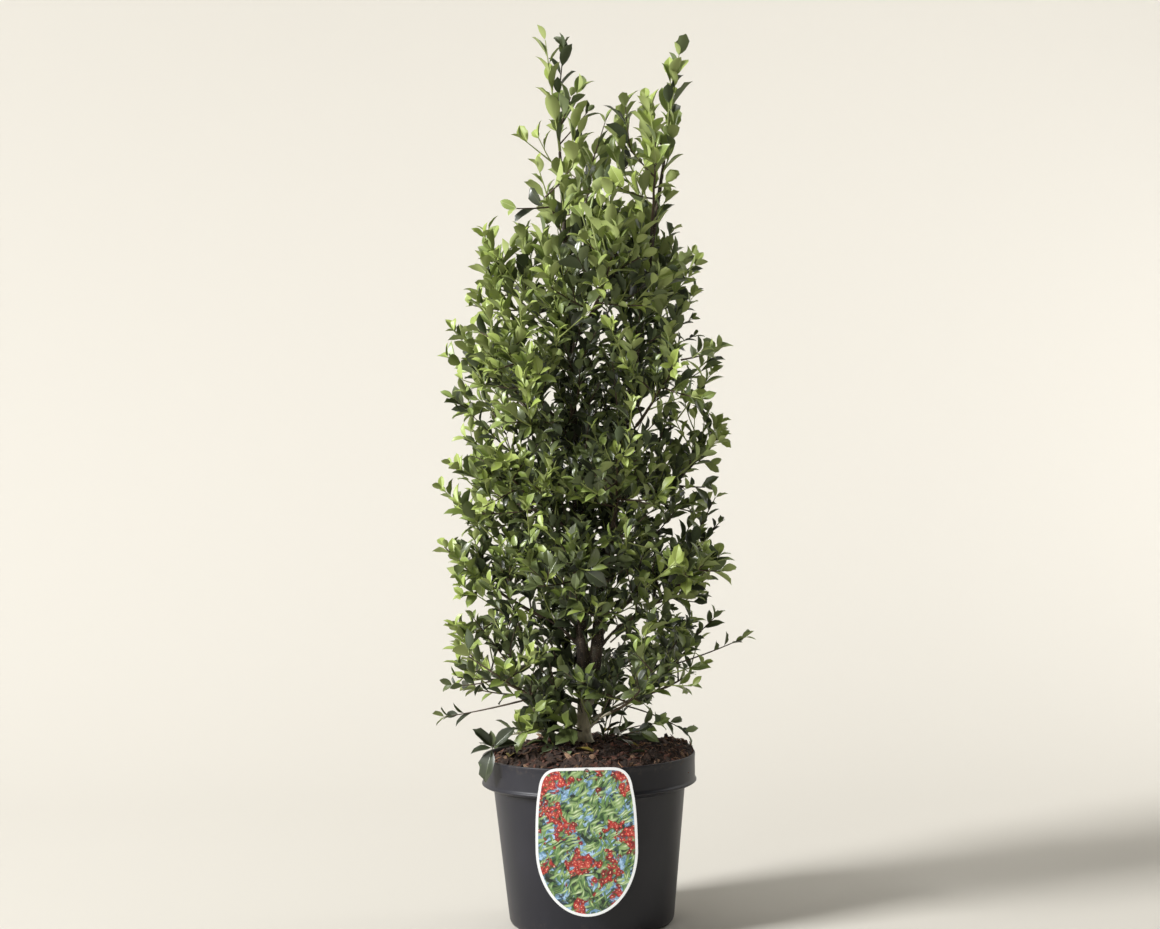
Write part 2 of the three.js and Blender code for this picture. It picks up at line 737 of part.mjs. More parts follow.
addPiece("pot", toGeometry(pot), FINISH.pot);
addPiece("compost", toGeometry(compost), FINISH.compost);
addPiece("label", toGeometry(label), FINISH.label);
addPiece("trunk", toGeometry(trunk), FINISH.bark);
addPiece("right_leader", toGeometry(leader), FINISH.bark);
for (const bough of boughs) {
  const parent = bough.onLeader ? leaderGuard : trunkGuard;
  const limb = mainBody(boughSolid(bough, 0).subtract(parent));
  keepOut = keepOut.add(boughSolid(bough, LIMB_MARGIN));
  addPiece(`bough_${bough.name}`, toGeometry(limb), FINISH.bark);
}
plans.forEach((plan, i) => {
  const mass = growMass(plan, plans, keepOut, SEED + i * 17);
  addPiece(`foliage_${plan.name}`, toGeometry(mainBody(mass.solid)), plan.finish);
});

export default group;
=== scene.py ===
"""A young holly grown as a slim evergreen column in a ten-litre nursery pot.

Sizes are in millimetres, as in the solids' source, and become metres where a mesh is made.
The origin is the centre of the pot's flat underside, +X is the plant's right, -Y its front.
"""

import json
import logging
import math
from dataclasses import dataclass, field
from enum import Enum, IntEnum
from typing import Callable, Iterable, NamedTuple, Sequence

import bmesh
import bpy
import numpy as np
from mathutils import Matrix, Vector, noise

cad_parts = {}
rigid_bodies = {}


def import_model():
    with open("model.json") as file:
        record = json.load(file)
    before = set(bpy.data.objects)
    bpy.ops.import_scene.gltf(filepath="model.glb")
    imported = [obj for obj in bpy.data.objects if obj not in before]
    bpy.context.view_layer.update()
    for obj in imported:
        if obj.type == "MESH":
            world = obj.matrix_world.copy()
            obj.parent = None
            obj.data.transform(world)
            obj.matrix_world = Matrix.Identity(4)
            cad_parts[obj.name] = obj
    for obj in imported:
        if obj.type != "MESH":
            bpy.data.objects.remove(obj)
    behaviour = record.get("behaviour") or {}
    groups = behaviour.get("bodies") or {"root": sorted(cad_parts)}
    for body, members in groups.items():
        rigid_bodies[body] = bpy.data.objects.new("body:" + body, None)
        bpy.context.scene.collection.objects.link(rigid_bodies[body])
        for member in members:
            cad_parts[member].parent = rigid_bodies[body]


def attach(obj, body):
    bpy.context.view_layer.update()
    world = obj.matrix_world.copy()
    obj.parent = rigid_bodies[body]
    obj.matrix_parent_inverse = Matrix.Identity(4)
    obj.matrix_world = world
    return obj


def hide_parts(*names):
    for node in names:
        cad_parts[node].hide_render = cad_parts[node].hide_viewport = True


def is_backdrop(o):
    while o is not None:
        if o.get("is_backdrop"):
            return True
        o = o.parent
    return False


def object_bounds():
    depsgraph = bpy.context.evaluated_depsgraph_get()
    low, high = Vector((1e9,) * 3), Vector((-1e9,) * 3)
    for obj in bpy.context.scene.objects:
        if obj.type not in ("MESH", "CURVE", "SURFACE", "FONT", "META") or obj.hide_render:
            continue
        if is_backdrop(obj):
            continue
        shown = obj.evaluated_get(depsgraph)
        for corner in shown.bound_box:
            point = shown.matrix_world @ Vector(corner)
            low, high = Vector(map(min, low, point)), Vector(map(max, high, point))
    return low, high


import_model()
CAD_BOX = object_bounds()

LOG = logging.getLogger("holly")
MM = 0.001
UP = Vector((0, 0, 1))
RIGHT = Vector((1, 0, 0))
FULL_TURN = 2 * math.pi
ANY_TURN = 6.3  # the range from which a shoot's turn about its limb is drawn
GOLDEN_TURN = 2.39996
Colour = tuple[float, float, float]
Point = Sequence[float]
Face = tuple[int, ...]

# ---- Small helpers: numbers, node trees, meshes ----


def mix(a: float, b: float, share: float) -> float:
    """The value that lies a share of the way from a to b."""
    return a + (b - a) * share


def clamp(value: float, low: float = 0.0, high: float = 1.0) -> float:
    """The value, kept between low and high."""
    return max(low, min(high, value))


def smooth(value: float, low: float, high: float) -> float:
    """0 below low, 1 above high and a smooth rise between them."""
    share = clamp((value - low) / (high - low))
    return share * share * (3 - 2 * share)


def arc(a: Vector, b: Vector, c: Vector, share: float) -> Vector:
    """A point on the curve from a to c that is pulled towards b."""
    return a * (1 - share) ** 2 + b * 2 * share * (1 - share) + c * share**2


def circle(count: int, radius: float = 1.0) -> list[tuple[float, float]]:
    """Places round a circle."""
    turns = (FULL_TURN * k / count for k in range(count))
    return [(radius * math.cos(turn), radius * math.sin(turn)) for turn in turns]


def rgb(red: int, green: int, blue: int) -> Colour:
    """A display colour of 0 to 255 as the linear colour that a shader takes."""
    return tuple(
        c / 12.92 if c <= 0.04045 else ((c + 0.055) / 1.055) ** 2.4
        for c in (red / 255, green / 255, blue / 255)
    )


@dataclass
class SeededRandom:
    """The same small number generator as the solids' shoots are grown with."""

    state: int

    def __call__(self) -> float:
        """The next number, from 0 to 1."""
        whole = 0xFFFFFFFF
        self.state = (self.state + 0x6D2B79F5) & whole
        mixed = (self.state ^ (self.state >> 15)) * (1 | self.state) & whole
        turned = (mixed ^ (mixed >> 7)) * (61 | mixed) & whole
        mixed = ((mixed + turned) ^ mixed) & whole
        return (mixed ^ (mixed >> 14)) / 4294967296

    def between(self, low: float, high: float) -> float:
        """The next number, from low to high."""
        return low + (high - low) * self()

    def jitter(self, width: float) -> float:
        """The next number, from a range of a width about 0."""
        return (self() - 0.5) * width


def operator(operation: str, is_swapped: bool = False) -> Callable[["Wire", object], "Wire"]:
    """A Math node's operation as a method of Wire.

    Args:
        operation: the Math node's operation.
        is_swapped: whether the other term comes first.

    Returns:
        The method.
    """

    def apply(wire: "Wire", other: "Wire | float") -> "Wire":
        """Adds the node."""
        terms = (other, wire) if is_swapped else (wire, other)
        return wire.bench.math(operation, *terms)

    return apply


@dataclass(eq=False)
class Wire:
    """An output socket in an expression: arithmetic on it adds Math nodes."""

    bench: "Bench"
    socket: bpy.types.NodeSocket
    __add__ = __radd__ = operator("ADD")
    __sub__ = operator("SUBTRACT")
    __rsub__ = operator("SUBTRACT", is_swapped=True)
    __mul__ = __rmul__ = operator("MULTIPLY")
    __lt__ = operator("LESS_THAN")
    __gt__ = operator("GREATER_THAN")

    def step(self, low: float, high: float) -> "Wire":
        """0 below low, 1 above high and a smooth rise between them."""
        values = {"Value": self, "From Min": low, "From Max": high}
        return self.bench.wire("ShaderNodeMapRange", values, interpolation_type="SMOOTHSTEP")


@dataclass
class Bench:
    """A node tree under construction, for shaders and for geometry."""

    tree: bpy.types.NodeTree

    def node(self, kind: str, values: dict | None = None, **settings: object) -> bpy.types.Node:
        """Adds one node.

        Args:
            kind: the node's type.
            values: a number, colour or Wire for each input, by name or place.
            settings: its own settings, set first.

        Returns:
            The new node.
        """
        made = self.tree.nodes.new(kind)
        for key, value in settings.items():
            setattr(made, key, value)
        for key, value in (values or {}).items():
            if isinstance(value, Wire):
                self.tree.links.new(value.socket, made.inputs[key])
            else:
                made.inputs[key].default_value = value
        return made

    def wire(
        self, kind: str, values: dict | None = None, output: int | str = 0, **settings: object
    ) -> Wire:
        """Adds one node and returns one of its outputs."""
        return Wire(self, self.node(kind, values, **settings).outputs[output])

    def wires(self, kind: str, values: dict, **settings: object) -> list[Wire]:
        """Adds one node and returns all its outputs."""
        return [Wire(self, socket) for socket in self.node(kind, values, **settings).outputs]

    def math(self, operation: str, *terms: Wire | float) -> Wire:
        """Adds one Math node."""
        return self.wire("ShaderNodeMath", dict(enumerate(terms)), operation=operation)

    def blend(self, share: Wire, a: Wire | Colour, b: Wire | Colour) -> Wire:
        """Mixes two colours, the second in the given share."""
        a, b = (colour if isinstance(colour, Wire) else (*colour, 1) for colour in (a, b))
        return self.wire("ShaderNodeMix", {0: share, 6: a, 7: b}, 2, data_type="RGBA")

    def parts(self, vector: Wire) -> list[Wire]:
        """The x, y and z of a vector."""
        return self.wires("ShaderNodeSeparateXYZ", {0: vector})

    def place(self, scale: Point = (1, 1, 1), shift: Point = (0, 0, 0)) -> Wire:
        """The object coordinates, scaled and shifted."""
        spot = self.wire("ShaderNodeTexCoord", output="Object")
        return self.wire("ShaderNodeMapping", {"Vector": spot, "Scale": scale, "Location": shift})

    def moved(self, where: Wire, across: float, up: float) -> Wire:
        """A flat place, moved across and up."""
        return self.wire("ShaderNodeMapping", {"Vector": where, "Location": (across, up, 0)})

    def noise(self, where: Wire, scale: float, detail: float = 3, rough: float = 0.5) -> Wire:
        """A noise value from 0 to 1 at a place."""
        values = {"Vector": where, "Scale": scale, "Detail": detail, "Roughness": rough}
        return self.wire("ShaderNodeTexNoise", values)

    def bump(self, height: Wire, distance: float, strength: float) -> Wire:
        """A normal tilted by a height, with the relief's depth in metres."""
        values = {"Height": height, "Distance": distance, "Strength": strength}
        return self.wire("ShaderNodeBump", values, "Normal")

    def named(self, attribute: str, kind: str = "FLOAT") -> Wire:
        """A geometry attribute, read by name."""
        return self.wire("GeometryNodeInputNamedAttribute", {"Name": attribute}, data_type=kind)


class Paint(Bench):
    """A material with one Principled shader, and a bench on its tree."""

    def __init__(self, name: str, **values: object) -> None:
        """Makes it, with values for the shader's sockets and _ for a space in their names.

        Args:
            name: the material's name.
            values: a value for each socket of the shader, with _ for a space in its name.
        """
        self.material = bpy.data.materials.new(name)
        self.material.use_nodes = True
        super().__init__(self.material.node_tree)
        self.shader = self.tree.nodes["Principled BSDF"]
        for key, value in values.items():
            socket = self.shader.inputs[key.replace("_", " ")]
            socket.default_value = (*value, 1) if isinstance(value, tuple) else value

    def finish(self, **wires: Wire) -> bpy.types.Material:
        """Links wires to the shader's sockets and returns the material."""
        for key, wire in wires.items():
            self.tree.links.new(wire.socket, self.shader.inputs[key.replace("_", " ")])
        return self.material


def new_object(
    name: str, mesh: bpy.types.Mesh, *materials: bpy.types.Material
) -> bpy.types.Object:
    """Puts a mesh into the scene under a name, in its materials.

    Args:
        name: the object's name.
        mesh: its mesh.
        materials: the mesh's materials, in order.

    Returns:
        The object.
    """
    made = bpy.data.objects.new(name, mesh)
    bpy.context.scene.collection.objects.link(made)
    for material in materials:
        mesh.materials.append(material)
    return made


def new_mesh(
    name: str,
    points: Iterable[Point],
    faces: Sequence[Face] = (),
    edges: Sequence[Face] = (),
    is_smooth: bool = True,
) -> bpy.types.Mesh:
    """Makes a mesh.

    Args:
        name: the mesh's name.
        points: corners in millimetres.
        faces: corner numbers, counterclockwise from outside.
        edges: loose edges, where it has no faces.
        is_smooth: whether it is shaded smooth.

    Returns:
        The mesh, in metres.
    """
    mesh = bpy.data.meshes.new(name)
    scaled = [tuple(c * MM for c in point) for point in points]
    mesh.from_pydata(scaled, edges, faces, shade_flat=not is_smooth)
    mesh.update()
    return mesh


def ring_faces(rings: Sequence[Sequence[int]], is_turned: bool = False) -> list[Face]:
    """The faces between rings of corners.

    Args:
        rings: corner numbers ring by ring, where a ring of one is a point.
        is_turned: whether the faces look the other way.

    Returns:
        The faces.
    """
    faces = []
    for low, high in zip(rings, rings[1:]):
        sides = max(len(low), len(high))
        for k in range(sides):
            n = (k + 1) % sides
            corners = [low[i % len(low)] for i in (k, n)]
            corners += [high[i % len(high)] for i in (n, k)]
            if is_turned:
                corners[1:] = corners[:0:-1]
            faces.append(tuple(dict.fromkeys(corners)))
    return faces


def settle(thing: bpy.types.Object) -> bpy.types.Object:
    """Turns an object with its modifiers into a plain mesh object.

    Args:
        thing: the object.

    Returns:
        The same object.
    """
    bpy.context.view_layer.update()
    graph = bpy.context.evaluated_depsgraph_get()
    mesh = bpy.data.meshes.new_from_object(thing.evaluated_get(graph), depsgraph=graph)
    old = thing.data
    thing.modifiers.clear()
    mesh.name = thing.name
    thing.data = mesh
    if old.users == 0:
        bpy.data.meshes.remove(old)
    return thing


def fit(piece: bpy.types.Object, slot: str, *nodes: str) -> bpy.types.Object:
    """Carries a piece on the one body and in the place of CAD nodes.

    Args:
        piece: the piece.
        slot: not used.
        nodes: the CAD nodes that it replaces.

    Returns:
        The same piece.
    """
    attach(piece, "root")
    if nodes:
        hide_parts(*nodes)
    return piece


class Forms:
    """Small bodies that are set many times over, kept out of the scene."""

    def __init__(self, name: str, bodies: Iterable[bpy.types.Mesh]) -> None:
        """Gathers the bodies.

        Args:
            name: the collection's name.
            bodies: the bodies, in order.
        """
        self.collection = bpy.data.collections.new(name)
        for i, body in enumerate(bodies):
            self.collection.objects.link(bpy.data.objects.new(f"{name}_{i}", body))

    def clear(self) -> None:
        """Takes the bodies out of the file once they are set."""
        for body in list(self.collection.objects):
            bpy.data.meshes.remove(body.data)
        bpy.data.collections.remove(self.collection)


class GeometryTree(Bench):
    """A Geometry Nodes tree with named inputs, run once on an object."""

    def __init__(self, name: str, **inputs: str) -> None:
        """Starts the tree, with the kind of each named input beyond the geometry.

        Args:
            name: the tree's name.
            inputs: the kind of each named input beyond the geometry.
        """
        super().__init__(bpy.data.node_groups.new(name, "GeometryNodeTree"))
        add = self.tree.interface.new_socket
        add("Geometry", in_out="OUTPUT", socket_type="NodeSocketGeometry")
        for label, kind in {"Geometry": "Geometry", **inputs}.items():
            add(label, in_out="INPUT", socket_type=f"NodeSocket{kind}")
        self.entry = self.node("NodeGroupInput")

    def given(self, name: str = "Geometry") -> Wire:
        """The wire of a named input."""
        return Wire(self, self.entry.outputs[name])

    def set_on(self, points: Wire, body: Wire, turn: Wire, **values: object) -> Wire:
        """Sets a body on points and makes the copies real.

        Args:
            points: the points.
            body: the body, or several of them.
            turn: how each copy is turned.
            values: other inputs of the node, with _ for a space in their names.

        Returns:
            The copies.
        """
        named = {key.replace("_", " "): value for key, value in values.items()}
        values = {"Points": points, "Instance": body, "Rotation": turn, **named}
        copies = self.wire("GeometryNodeInstanceOnPoints", values)
        return self.wire("GeometryNodeRealizeInstances", {"Geometry": copies})

    def forms(self) -> Wire:
        """The bodies of the input collection, each for itself."""
        values = {"Collection": self.given("Forms"), "Separate Children": True}
        return self.wire("GeometryNodeCollectionInfo", {**values, "Reset Children": True})

    def close(
        self, geometry: Wire, paints: Iterable[tuple[Wire | bool, bpy.types.Material]] = ()
    ) -> None:
        """Ends the tree, with each material on the faces that its wire selects.

        Args:
            geometry: the wire that the tree hands out.
            paints: what each material covers, and the material.
        """
        for chosen, material in paints:
            values = {"Geometry": geometry, "Selection": chosen, "Material": material}
            geometry = self.wire("GeometryNodeSetMaterial", values)
        self.node("NodeGroupOutput", {"Geometry": geometry})

    def run(self, thing: bpy.types.Object, **values: object) -> bpy.types.Object:
        """Runs the tree on an object, with its named inputs, and leaves a plain mesh.

        Args:
            thing: the object.
            values: a value for each named input.

        Returns:
            The same object.
        """
        modifier = thing.modifiers.new(self.tree.name, "NODES")
        modifier.node_group = self.tree
        for item in self.tree.interface.items_tree:
            if item.in_out == "INPUT" and item.name in values:
                modifier[item.identifier] = values[item.name]
        return settle(thing)


def put(
    mesh: bpy.types.Mesh, name: str, kind: str, values: Sequence, domain: str = "POINT"
) -> None:
    """Stores an attribute on a mesh."""
    layer = mesh.attributes.new(name, kind, domain)
    layer.data.foreach_set("vector" if kind == "FLOAT_VECTOR" else "value", values)


def strip(piece: bpy.types.Object, *names: str) -> bpy.types.Object:
    """Takes working attributes off a finished piece."""
    for name in names:
        if name in piece.data.attributes:
            piece.data.attributes.remove(piece.data.attributes[name])
    return piece


# ---- Lines that limbs follow ----


class Path:
    """A smooth line through space, measured along its length."""

    def __init__(self, points: Sequence[Vector]) -> None:
        """Measures the line.

        Args:
            points: the line, as many close points.
        """
        self.points = list(points)
        self.along = [0.0]
        for a, b in zip(self.points, self.points[1:]):
            self.along.append(self.along[-1] + (b - a).length)
        self.length = self.along[-1]

    @classmethod
    def through(cls, stops: Iterable[Point], samples: int = 40) -> "Path":
        """A centripetal spline, as the solids' limbs follow.

        Args:
            stops: the points that it passes through.
            samples: how many points each span is drawn with.

        Returns:
            The path.
        """
        knots = [Vector(stop) for stop in stops]
        knots = [2 * knots[0] - knots[1], *knots, 2 * knots[-1] - knots[-2]]
        points = [knots[1]]
        for p0, p1, p2, p3 in zip(knots, knots[1:], knots[2:], knots[3:]):
            d0, d1, d2 = (math.sqrt((b - a).length) for a, b in ((p0, p1), (p1, p2), (p2, p3)))
            t1 = ((p1 - p0) / d0 - (p2 - p0) / (d0 + d1) + (p2 - p1) / d1) * d1
            t2 = ((p2 - p1) / d1 - (p3 - p1) / (d1 + d2) + (p3 - p2) / d2) * d1
            cubic = 2 * p1 - 2 * p2 + t1 + t2
            square = 3 * p2 - 3 * p1 - 2 * t1 - t2
            for t in (i / samples for i in range(1, samples + 1)):
                points.append(p1 + t1 * t + square * t**2 + cubic * t**3)
        return cls(points)

    @classmethod
    def arch(cls, root: Vector, bend: Vector, end: Vector, samples: int = 60) -> "Path":
        """A single bend from root to end, pulled towards a third point."""
        return cls([arc(root, bend, end, i / samples) for i in range(samples + 1)])

    def at(self, share: float) -> Vector:
        """The point a share of the way along.

        Args:
            share: how far along, from 0 to 1.

        Returns:
            The point.
        """
        goal = clamp(share) * self.length
        low = int(np.searchsorted(self.along, goal, side="right")) - 1
        low = min(max(low, 0), len(self.points) - 2)
        span = self.along[low + 1] - self.along[low]
        part = (goal - self.along[low]) / span if span else 0.0
        return self.points[low].lerp(self.points[low + 1], part)

    def evenly(self, count: int) -> list[Vector]:
        """The points at even steps along, both ends among them."""
        return [self.at(i / count) for i in range(count + 1)]

    def heading(self, share: float, step: float = 0.004) -> Vector:
        """The direction that the line has there."""
        return (self.at(share + step) - self.at(share - step)).normalized()

    def at_height(self, height: float) -> Vector:
        """The point of a rising line at a height.

        Args:
            height: the height.

        Returns:
            The point.
        """
        low, high = 0.0, 1.0
        for _ in range(24):
            middle = (low + high) / 2
            low, high = (middle, high) if self.at(middle).z < height else (low, middle)
        return self.at(low)


def level_direction(turn: float) -> Vector:
    """A level direction, turned from the front (-Y) towards the right (+X)."""
    return Vector((math.sin(turn), -math.cos(turn), 0))


def square_to(direction: Vector, axis: Vector) -> Vector:
    """The part of a direction that is square to an axis, made one long."""
    return (direction - axis * direction.dot(axis)).normalized()


def branch_direction(axis: Vector, turn: float, spread: float) -> Vector:
    """A direction that leaves the axis at an angle, turned about it."""
    across = square_to(RIGHT if abs(axis.z) > 0.9 else UP, axis)
    across.rotate(Matrix.Rotation(turn, 3, axis))
    return axis * math.cos(spread) + across * math.sin(spread)


def tube(
    points: Sequence[Vector], radii: Sequence[float], sides: int
) -> tuple[list[Vector], list[Face]]:
    """The corners and faces of a closed round tube along points.

    Args:
        points: the middle line.
        radii: the radius at each of its points.
        sides: how many corners it has across.

    Returns:
        Its corners and its faces.
    """
    corners: list[Vector] = []
    axis = (points[1] - points[0]).normalized()
    across = square_to(RIGHT if abs(axis.x) < 0.9 else UP, axis)
    for i, (point, radius) in enumerate(zip(points, radii)):
        axis = (points[min(i + 1, len(points) - 1)] - points[max(i - 1, 0)]).normalized()
        across = square_to(across, axis)
        side = axis.cross(across)
        corners += [point + (across * x + side * y) * radius for x, y in circle(sides)]
    rings = [range(i, i + sides) for i in range(0, len(corners), sides)]
    return corners, [*ring_faces(rings), tuple(rings[0])[::-1], tuple(rings[-1])]


# ---- The plant's plan, by the same rule and sizes as the solids ----


class Opening(NamedTuple):
    """A window in the crown where the sky shows between twigs, and how open it is."""

    x: float
    z: float
    wide: float
    high: float
    share: float

    def depth(self, spot: Vector) -> float:
        """How far inside the window a point lies: 1 at its middle, 0 outside."""
        out = math.hypot((spot.x - self.x) / self.wide, (spot.z - self.z) / self.high)
        return self.share * smooth(1 - out, 0.0, 0.45)


# The crown's middle and radius at each height
CROWN_LEVELS = (
    (256, -10, 150), (310, 3, 204), (380, 6, 213), (480, -4, 202), (600, 3, 214),
    (780, 8, 198), (880, 16, 172), (960, 26, 142), (1040, 38, 122), (1112, 49, 84),
)
# How far out leaves reach on the left and on the right at each height
CROWN_RIMS = (
    (256, 0.76, 0.6), (310, 0.8, 0.52), (348, 0.86, 0.66), (396, 0.86, 0.9), (444, 0.77, 0.9),
    (492, 0.81, 0.87), (540, 0.82, 0.8), (588, 0.86, 0.78), (636, 0.86, 0.8), (684, 1.08, 0.98),
    (732, 1.06, 0.8), (780, 0.97, 1.08), (875, 0.82, 1.16), (925, 0.8, 0.74), (1020, 0.7, 0.8),
    (1112, 0.76, 0.8),
)
OPENINGS = tuple(Opening(*row) for row in (
    (37, 374, 25, 40, 0.9), (46, 270, 34, 22, 0.7), (-112, 284, 56, 26, 0.5),
    (-38, 346, 20, 22, 0.35), (80, 662, 22, 30, 0.8), (-150, 636, 34, 22, 0.3),
    (60, 500, 20, 24, 0.3), (-60, 955, 26, 44, 0.6), (24, 1024, 124, 84, 0.34),
    (-4, 915, 50, 34, 0.3), (48, 1132, 40, 46, 1.0), (140, 732, 22, 20, 0.55),
    (142, 588, 22, 20, 0.5), (136, 342, 26, 20, 0.55), (-206, 510, 28, 26, 0.9),
    (-98, 636, 30, 22, 0.45), (-110, 350, 52, 22, 0.4), (42, 296, 26, 22, 0.7),
    (44, 446, 24, 24, 0.55), (148, 925, 26, 24, 0.5), (-8, 268, 17, 44, 0.9),
    (5, 366, 24, 36, 0.7),
))


class Crown:
    """The space that the foliage fills."""

    levels = tuple(zip(*CROWN_LEVELS))
    rims = tuple(zip(*CROWN_RIMS))
    low, high = levels[0][0], levels[0][-1]
    ripple = 0.06

    def at(self, height: float) -> tuple[float, float]:
        """The crown's middle and radius at a height."""
        heights, *rows = self.levels
        middle, radius = (float(np.interp(height, heights, row)) for row in rows)
        return middle, radius

    def outness(self, spot: Vector) -> float:
        """How far out a point lies: 0 on the crown's axis, 1 at its outline.

        Args:
            spot: the point.

        Returns:
            The share.
        """
        middle, radius = self.at(spot.z)
        turn = math.atan2(spot.x - middle, -spot.y)
        wave = math.sin(3 * turn + spot.z / 23) * math.cos(2 * turn - spot.z / 37)
        return math.hypot(spot.x - middle, spot.y) / (radius * (1 + self.ripple * wave))

    def holds(self, spot: Vector) -> bool:
        """Whether a point lies in the crown."""
        return self.low <= spot.z <= self.high and self.outness(spot) < 1

    def gap(self, spot: Vector) -> float:
        """How open the crown is at a point, by its windows and by chance clearings."""
        clearing = 0.6 * smooth(noise.noise(spot / 34 + Vector((3, 7, 1))), 0.14, 0.4)
        outer = smooth(self.outness(spot), 0.4, 0.8)
        return max(clearing * outer, *(opening.depth(spot) for opening in OPENINGS))

    def rim(self, spot: Vector) -> float:
        """How far out leaves reach in the direction of a point, against the outline.

        Args:
            spot: the point.

        Returns:
            The share of the outline that they reach.
        """
        middle, radius = self.at(spot.z)
        aside = clamp((spot.x - middle) / radius * 1.2, -1, 1)
        side = self.rims[2 if aside > 0 else 1]
        reach = float(np.interp(spot.z, self.rims[0], side))
        reach = mix(0.94, reach, smooth(abs(aside), 0.2, 0.8))
        return reach + 0.15 * noise.noise(spot / 36) + 0.08 * noise.noise(spot / 15)

    def leafy(self, spot: Vector, slack: float) -> bool:
        """Whether leaves may be at a point: inside the ragged rim of the crown."""
        is_level = self.low - 12 <= spot.z <= self.high + 10
        return is_level and self.outness(spot) < self.rim(spot) + slack


class Tier(NamedTuple):
    """One ring of boughs round the stems."""

    name: str
    height: float
    count: int
    turn: float
    drop: float
    bare: float
    radius: float


TIERS = (
    Tier("skirt", 318, 5, 24, 66, 0.62, 3.1),
    Tier("low", 436, 5, 60, 78, 0.44, 3.6),
    Tier("middle", 562, 5, 22, 82, 0.4, 3.5),
    Tier("upper", 692, 4, 52, 80, 0.4, 3.2),
    Tier("high", 822, 3, 12, 78, 0.38, 2.9),
    Tier("top", 958, 3, 62, 70, 0.4, 2.5),
)
SIDES = ("front", "front_right", "right", "back_right", "back", "back_left", "left", "front_left")


@dataclass
class Mass:
    """One foliage mass: where it starts, where it may grow and the bough under it."""

    name: str
    tier: str
    centre: Vector
    limb: Path
    reach: float = 0
    in_space: Callable[[Vector], bool] | None = None
    bough_radius: float = 0
    is_tip: bool = False
    falls: bool = False


@dataclass
class Plan:
    """The stems, boughs and foliage masses of the whole plant."""

    crown: Crown = field(default_factory=Crown)
    foot_height: float = 236.3
    fork_height: float = 300
    leader_side: float = 0.3
    leader_clear: float = 30
    centre_share: float = 0.6
    stem_reach: float = 0.9
    stagger: float = 6
    arch: float = 0.12
    entry: float = 0.42
    tip_radius: float = 40
    tip_middle: float = 0.36

    def __post_init__(self) -> None:
        """Lays out the two stems and the masses, in the order in which the solids are grown."""
        self.trunk = Path.through((
            (-6, 0, self.foot_height), (-5, 1, 292), (-6, 3, 400), (-8, 1, 540), (-12, -3, 690),
            (-16, 0, 850), (-22, 2, 1018),
        ))
        self.leader = Path.through((
            (-2, 3, 282), (10, 6, 335), (21, 8, 424), (55, 6, 635), (85, 8, 820), (116, 4, 1004),
        ))
        self.masses = [self.on_bough(tier, i) for tier in TIERS for i in range(tier.count)]
        self.masses.append(self.droop())
        self.masses.append(self.tip("left_tip", self.trunk, 1176, -16))
        self.masses.append(self.tip("right_tip", self.leader, 1160, 26))

    def boughs(self) -> list[Mass]:
        """The masses that stand on boughs of their own."""
        return [mass for mass in self.masses if not mass.is_tip]

    def on_bough(self, tier: Tier, i: int) -> Mass:
        """The mass that one bough of a tier carries.

        Args:
            tier: the ring that the bough belongs to.
            i: its place in the ring.

        Returns:
            The mass.
        """
        turn = math.radians(tier.turn + i * 360 / tier.count)
        out = level_direction(turn)
        middle, radius = self.crown.at(tier.height)
        height = tier.height + ((i * 2) % tier.count - 1) * self.stagger
        centre = Vector((middle, 0, height)) + out * radius * self.centre_share
        low = height - tier.drop
        is_right = out.x > self.leader_side and low > self.fork_height + self.leader_clear
        root = (self.leader if is_right else self.trunk).at_height(low)
        end = root.lerp(centre, tier.bare)
        end.z = height - tier.drop * self.entry
        bend = root.lerp(end, 0.5) + UP * tier.drop * self.arch
        side = SIDES[round(turn / (math.pi / 4)) % 8]
        return Mass(
            f"{tier.name}_{side}", tier.name, centre, Path.arch(root, bend, end),
            radius * self.stem_reach, self.crown.holds, tier.radius,
        )

    def droop(self) -> Mass:
        """The shoot that hangs over the rim at the front left."""
        out = level_direction(math.radians(-60))
        root = self.trunk.at_height(250)
        end = out * 134 + UP * 254
        bend = root.lerp(end, 0.5)
        bend.z = 262
        path = Path.arch(root, bend, end)
        return Mass("droop", "skirt", out * 158 + UP * 232, path, bough_radius=2.8, falls=True)

    def tip(self, name: str, limb: Path, top: float, lean: float) -> Mass:
        """The mass on the end of the trunk or leader, in a column of its own.

        Args:
            name: the mass's name.
            limb: the stem that it stands on.
            top: its height.
            lean: how far its top leans to the right.

        Returns:
            The mass.
        """
        foot = limb.at(1)
        head = Vector((foot.x + lean, foot.y, top))
        axis = head - foot

        def in_column(spot: Vector) -> bool:
            """Whether a point lies in the column."""
            share = (spot - foot).dot(axis) / axis.length_squared
            return (spot - foot - axis * share).length < self.tip_radius and spot.z < top

        middle = foot.lerp(head, self.tip_middle)
        return Mass(name, "tips", middle, limb, axis.length, in_column, is_tip=True)


# ---- Leaves ----


class Tint(IntEnum):
    """How light and how old a leaf is; where sprays are tinted by place, its lightness is partly
    painted light and shade.
    """

    YOUNG = 0
    FRESH = 1
    MATURE = 2
    DARK = 3
    FALLEN = 4
    YELLOW = 5


class LeafPart(IntEnum):
    """The faces of a leaf: its upper blade, its midrib with the stalk, and its underside."""

    BLADE = 0
    RIB = 1
    UNDER = 2


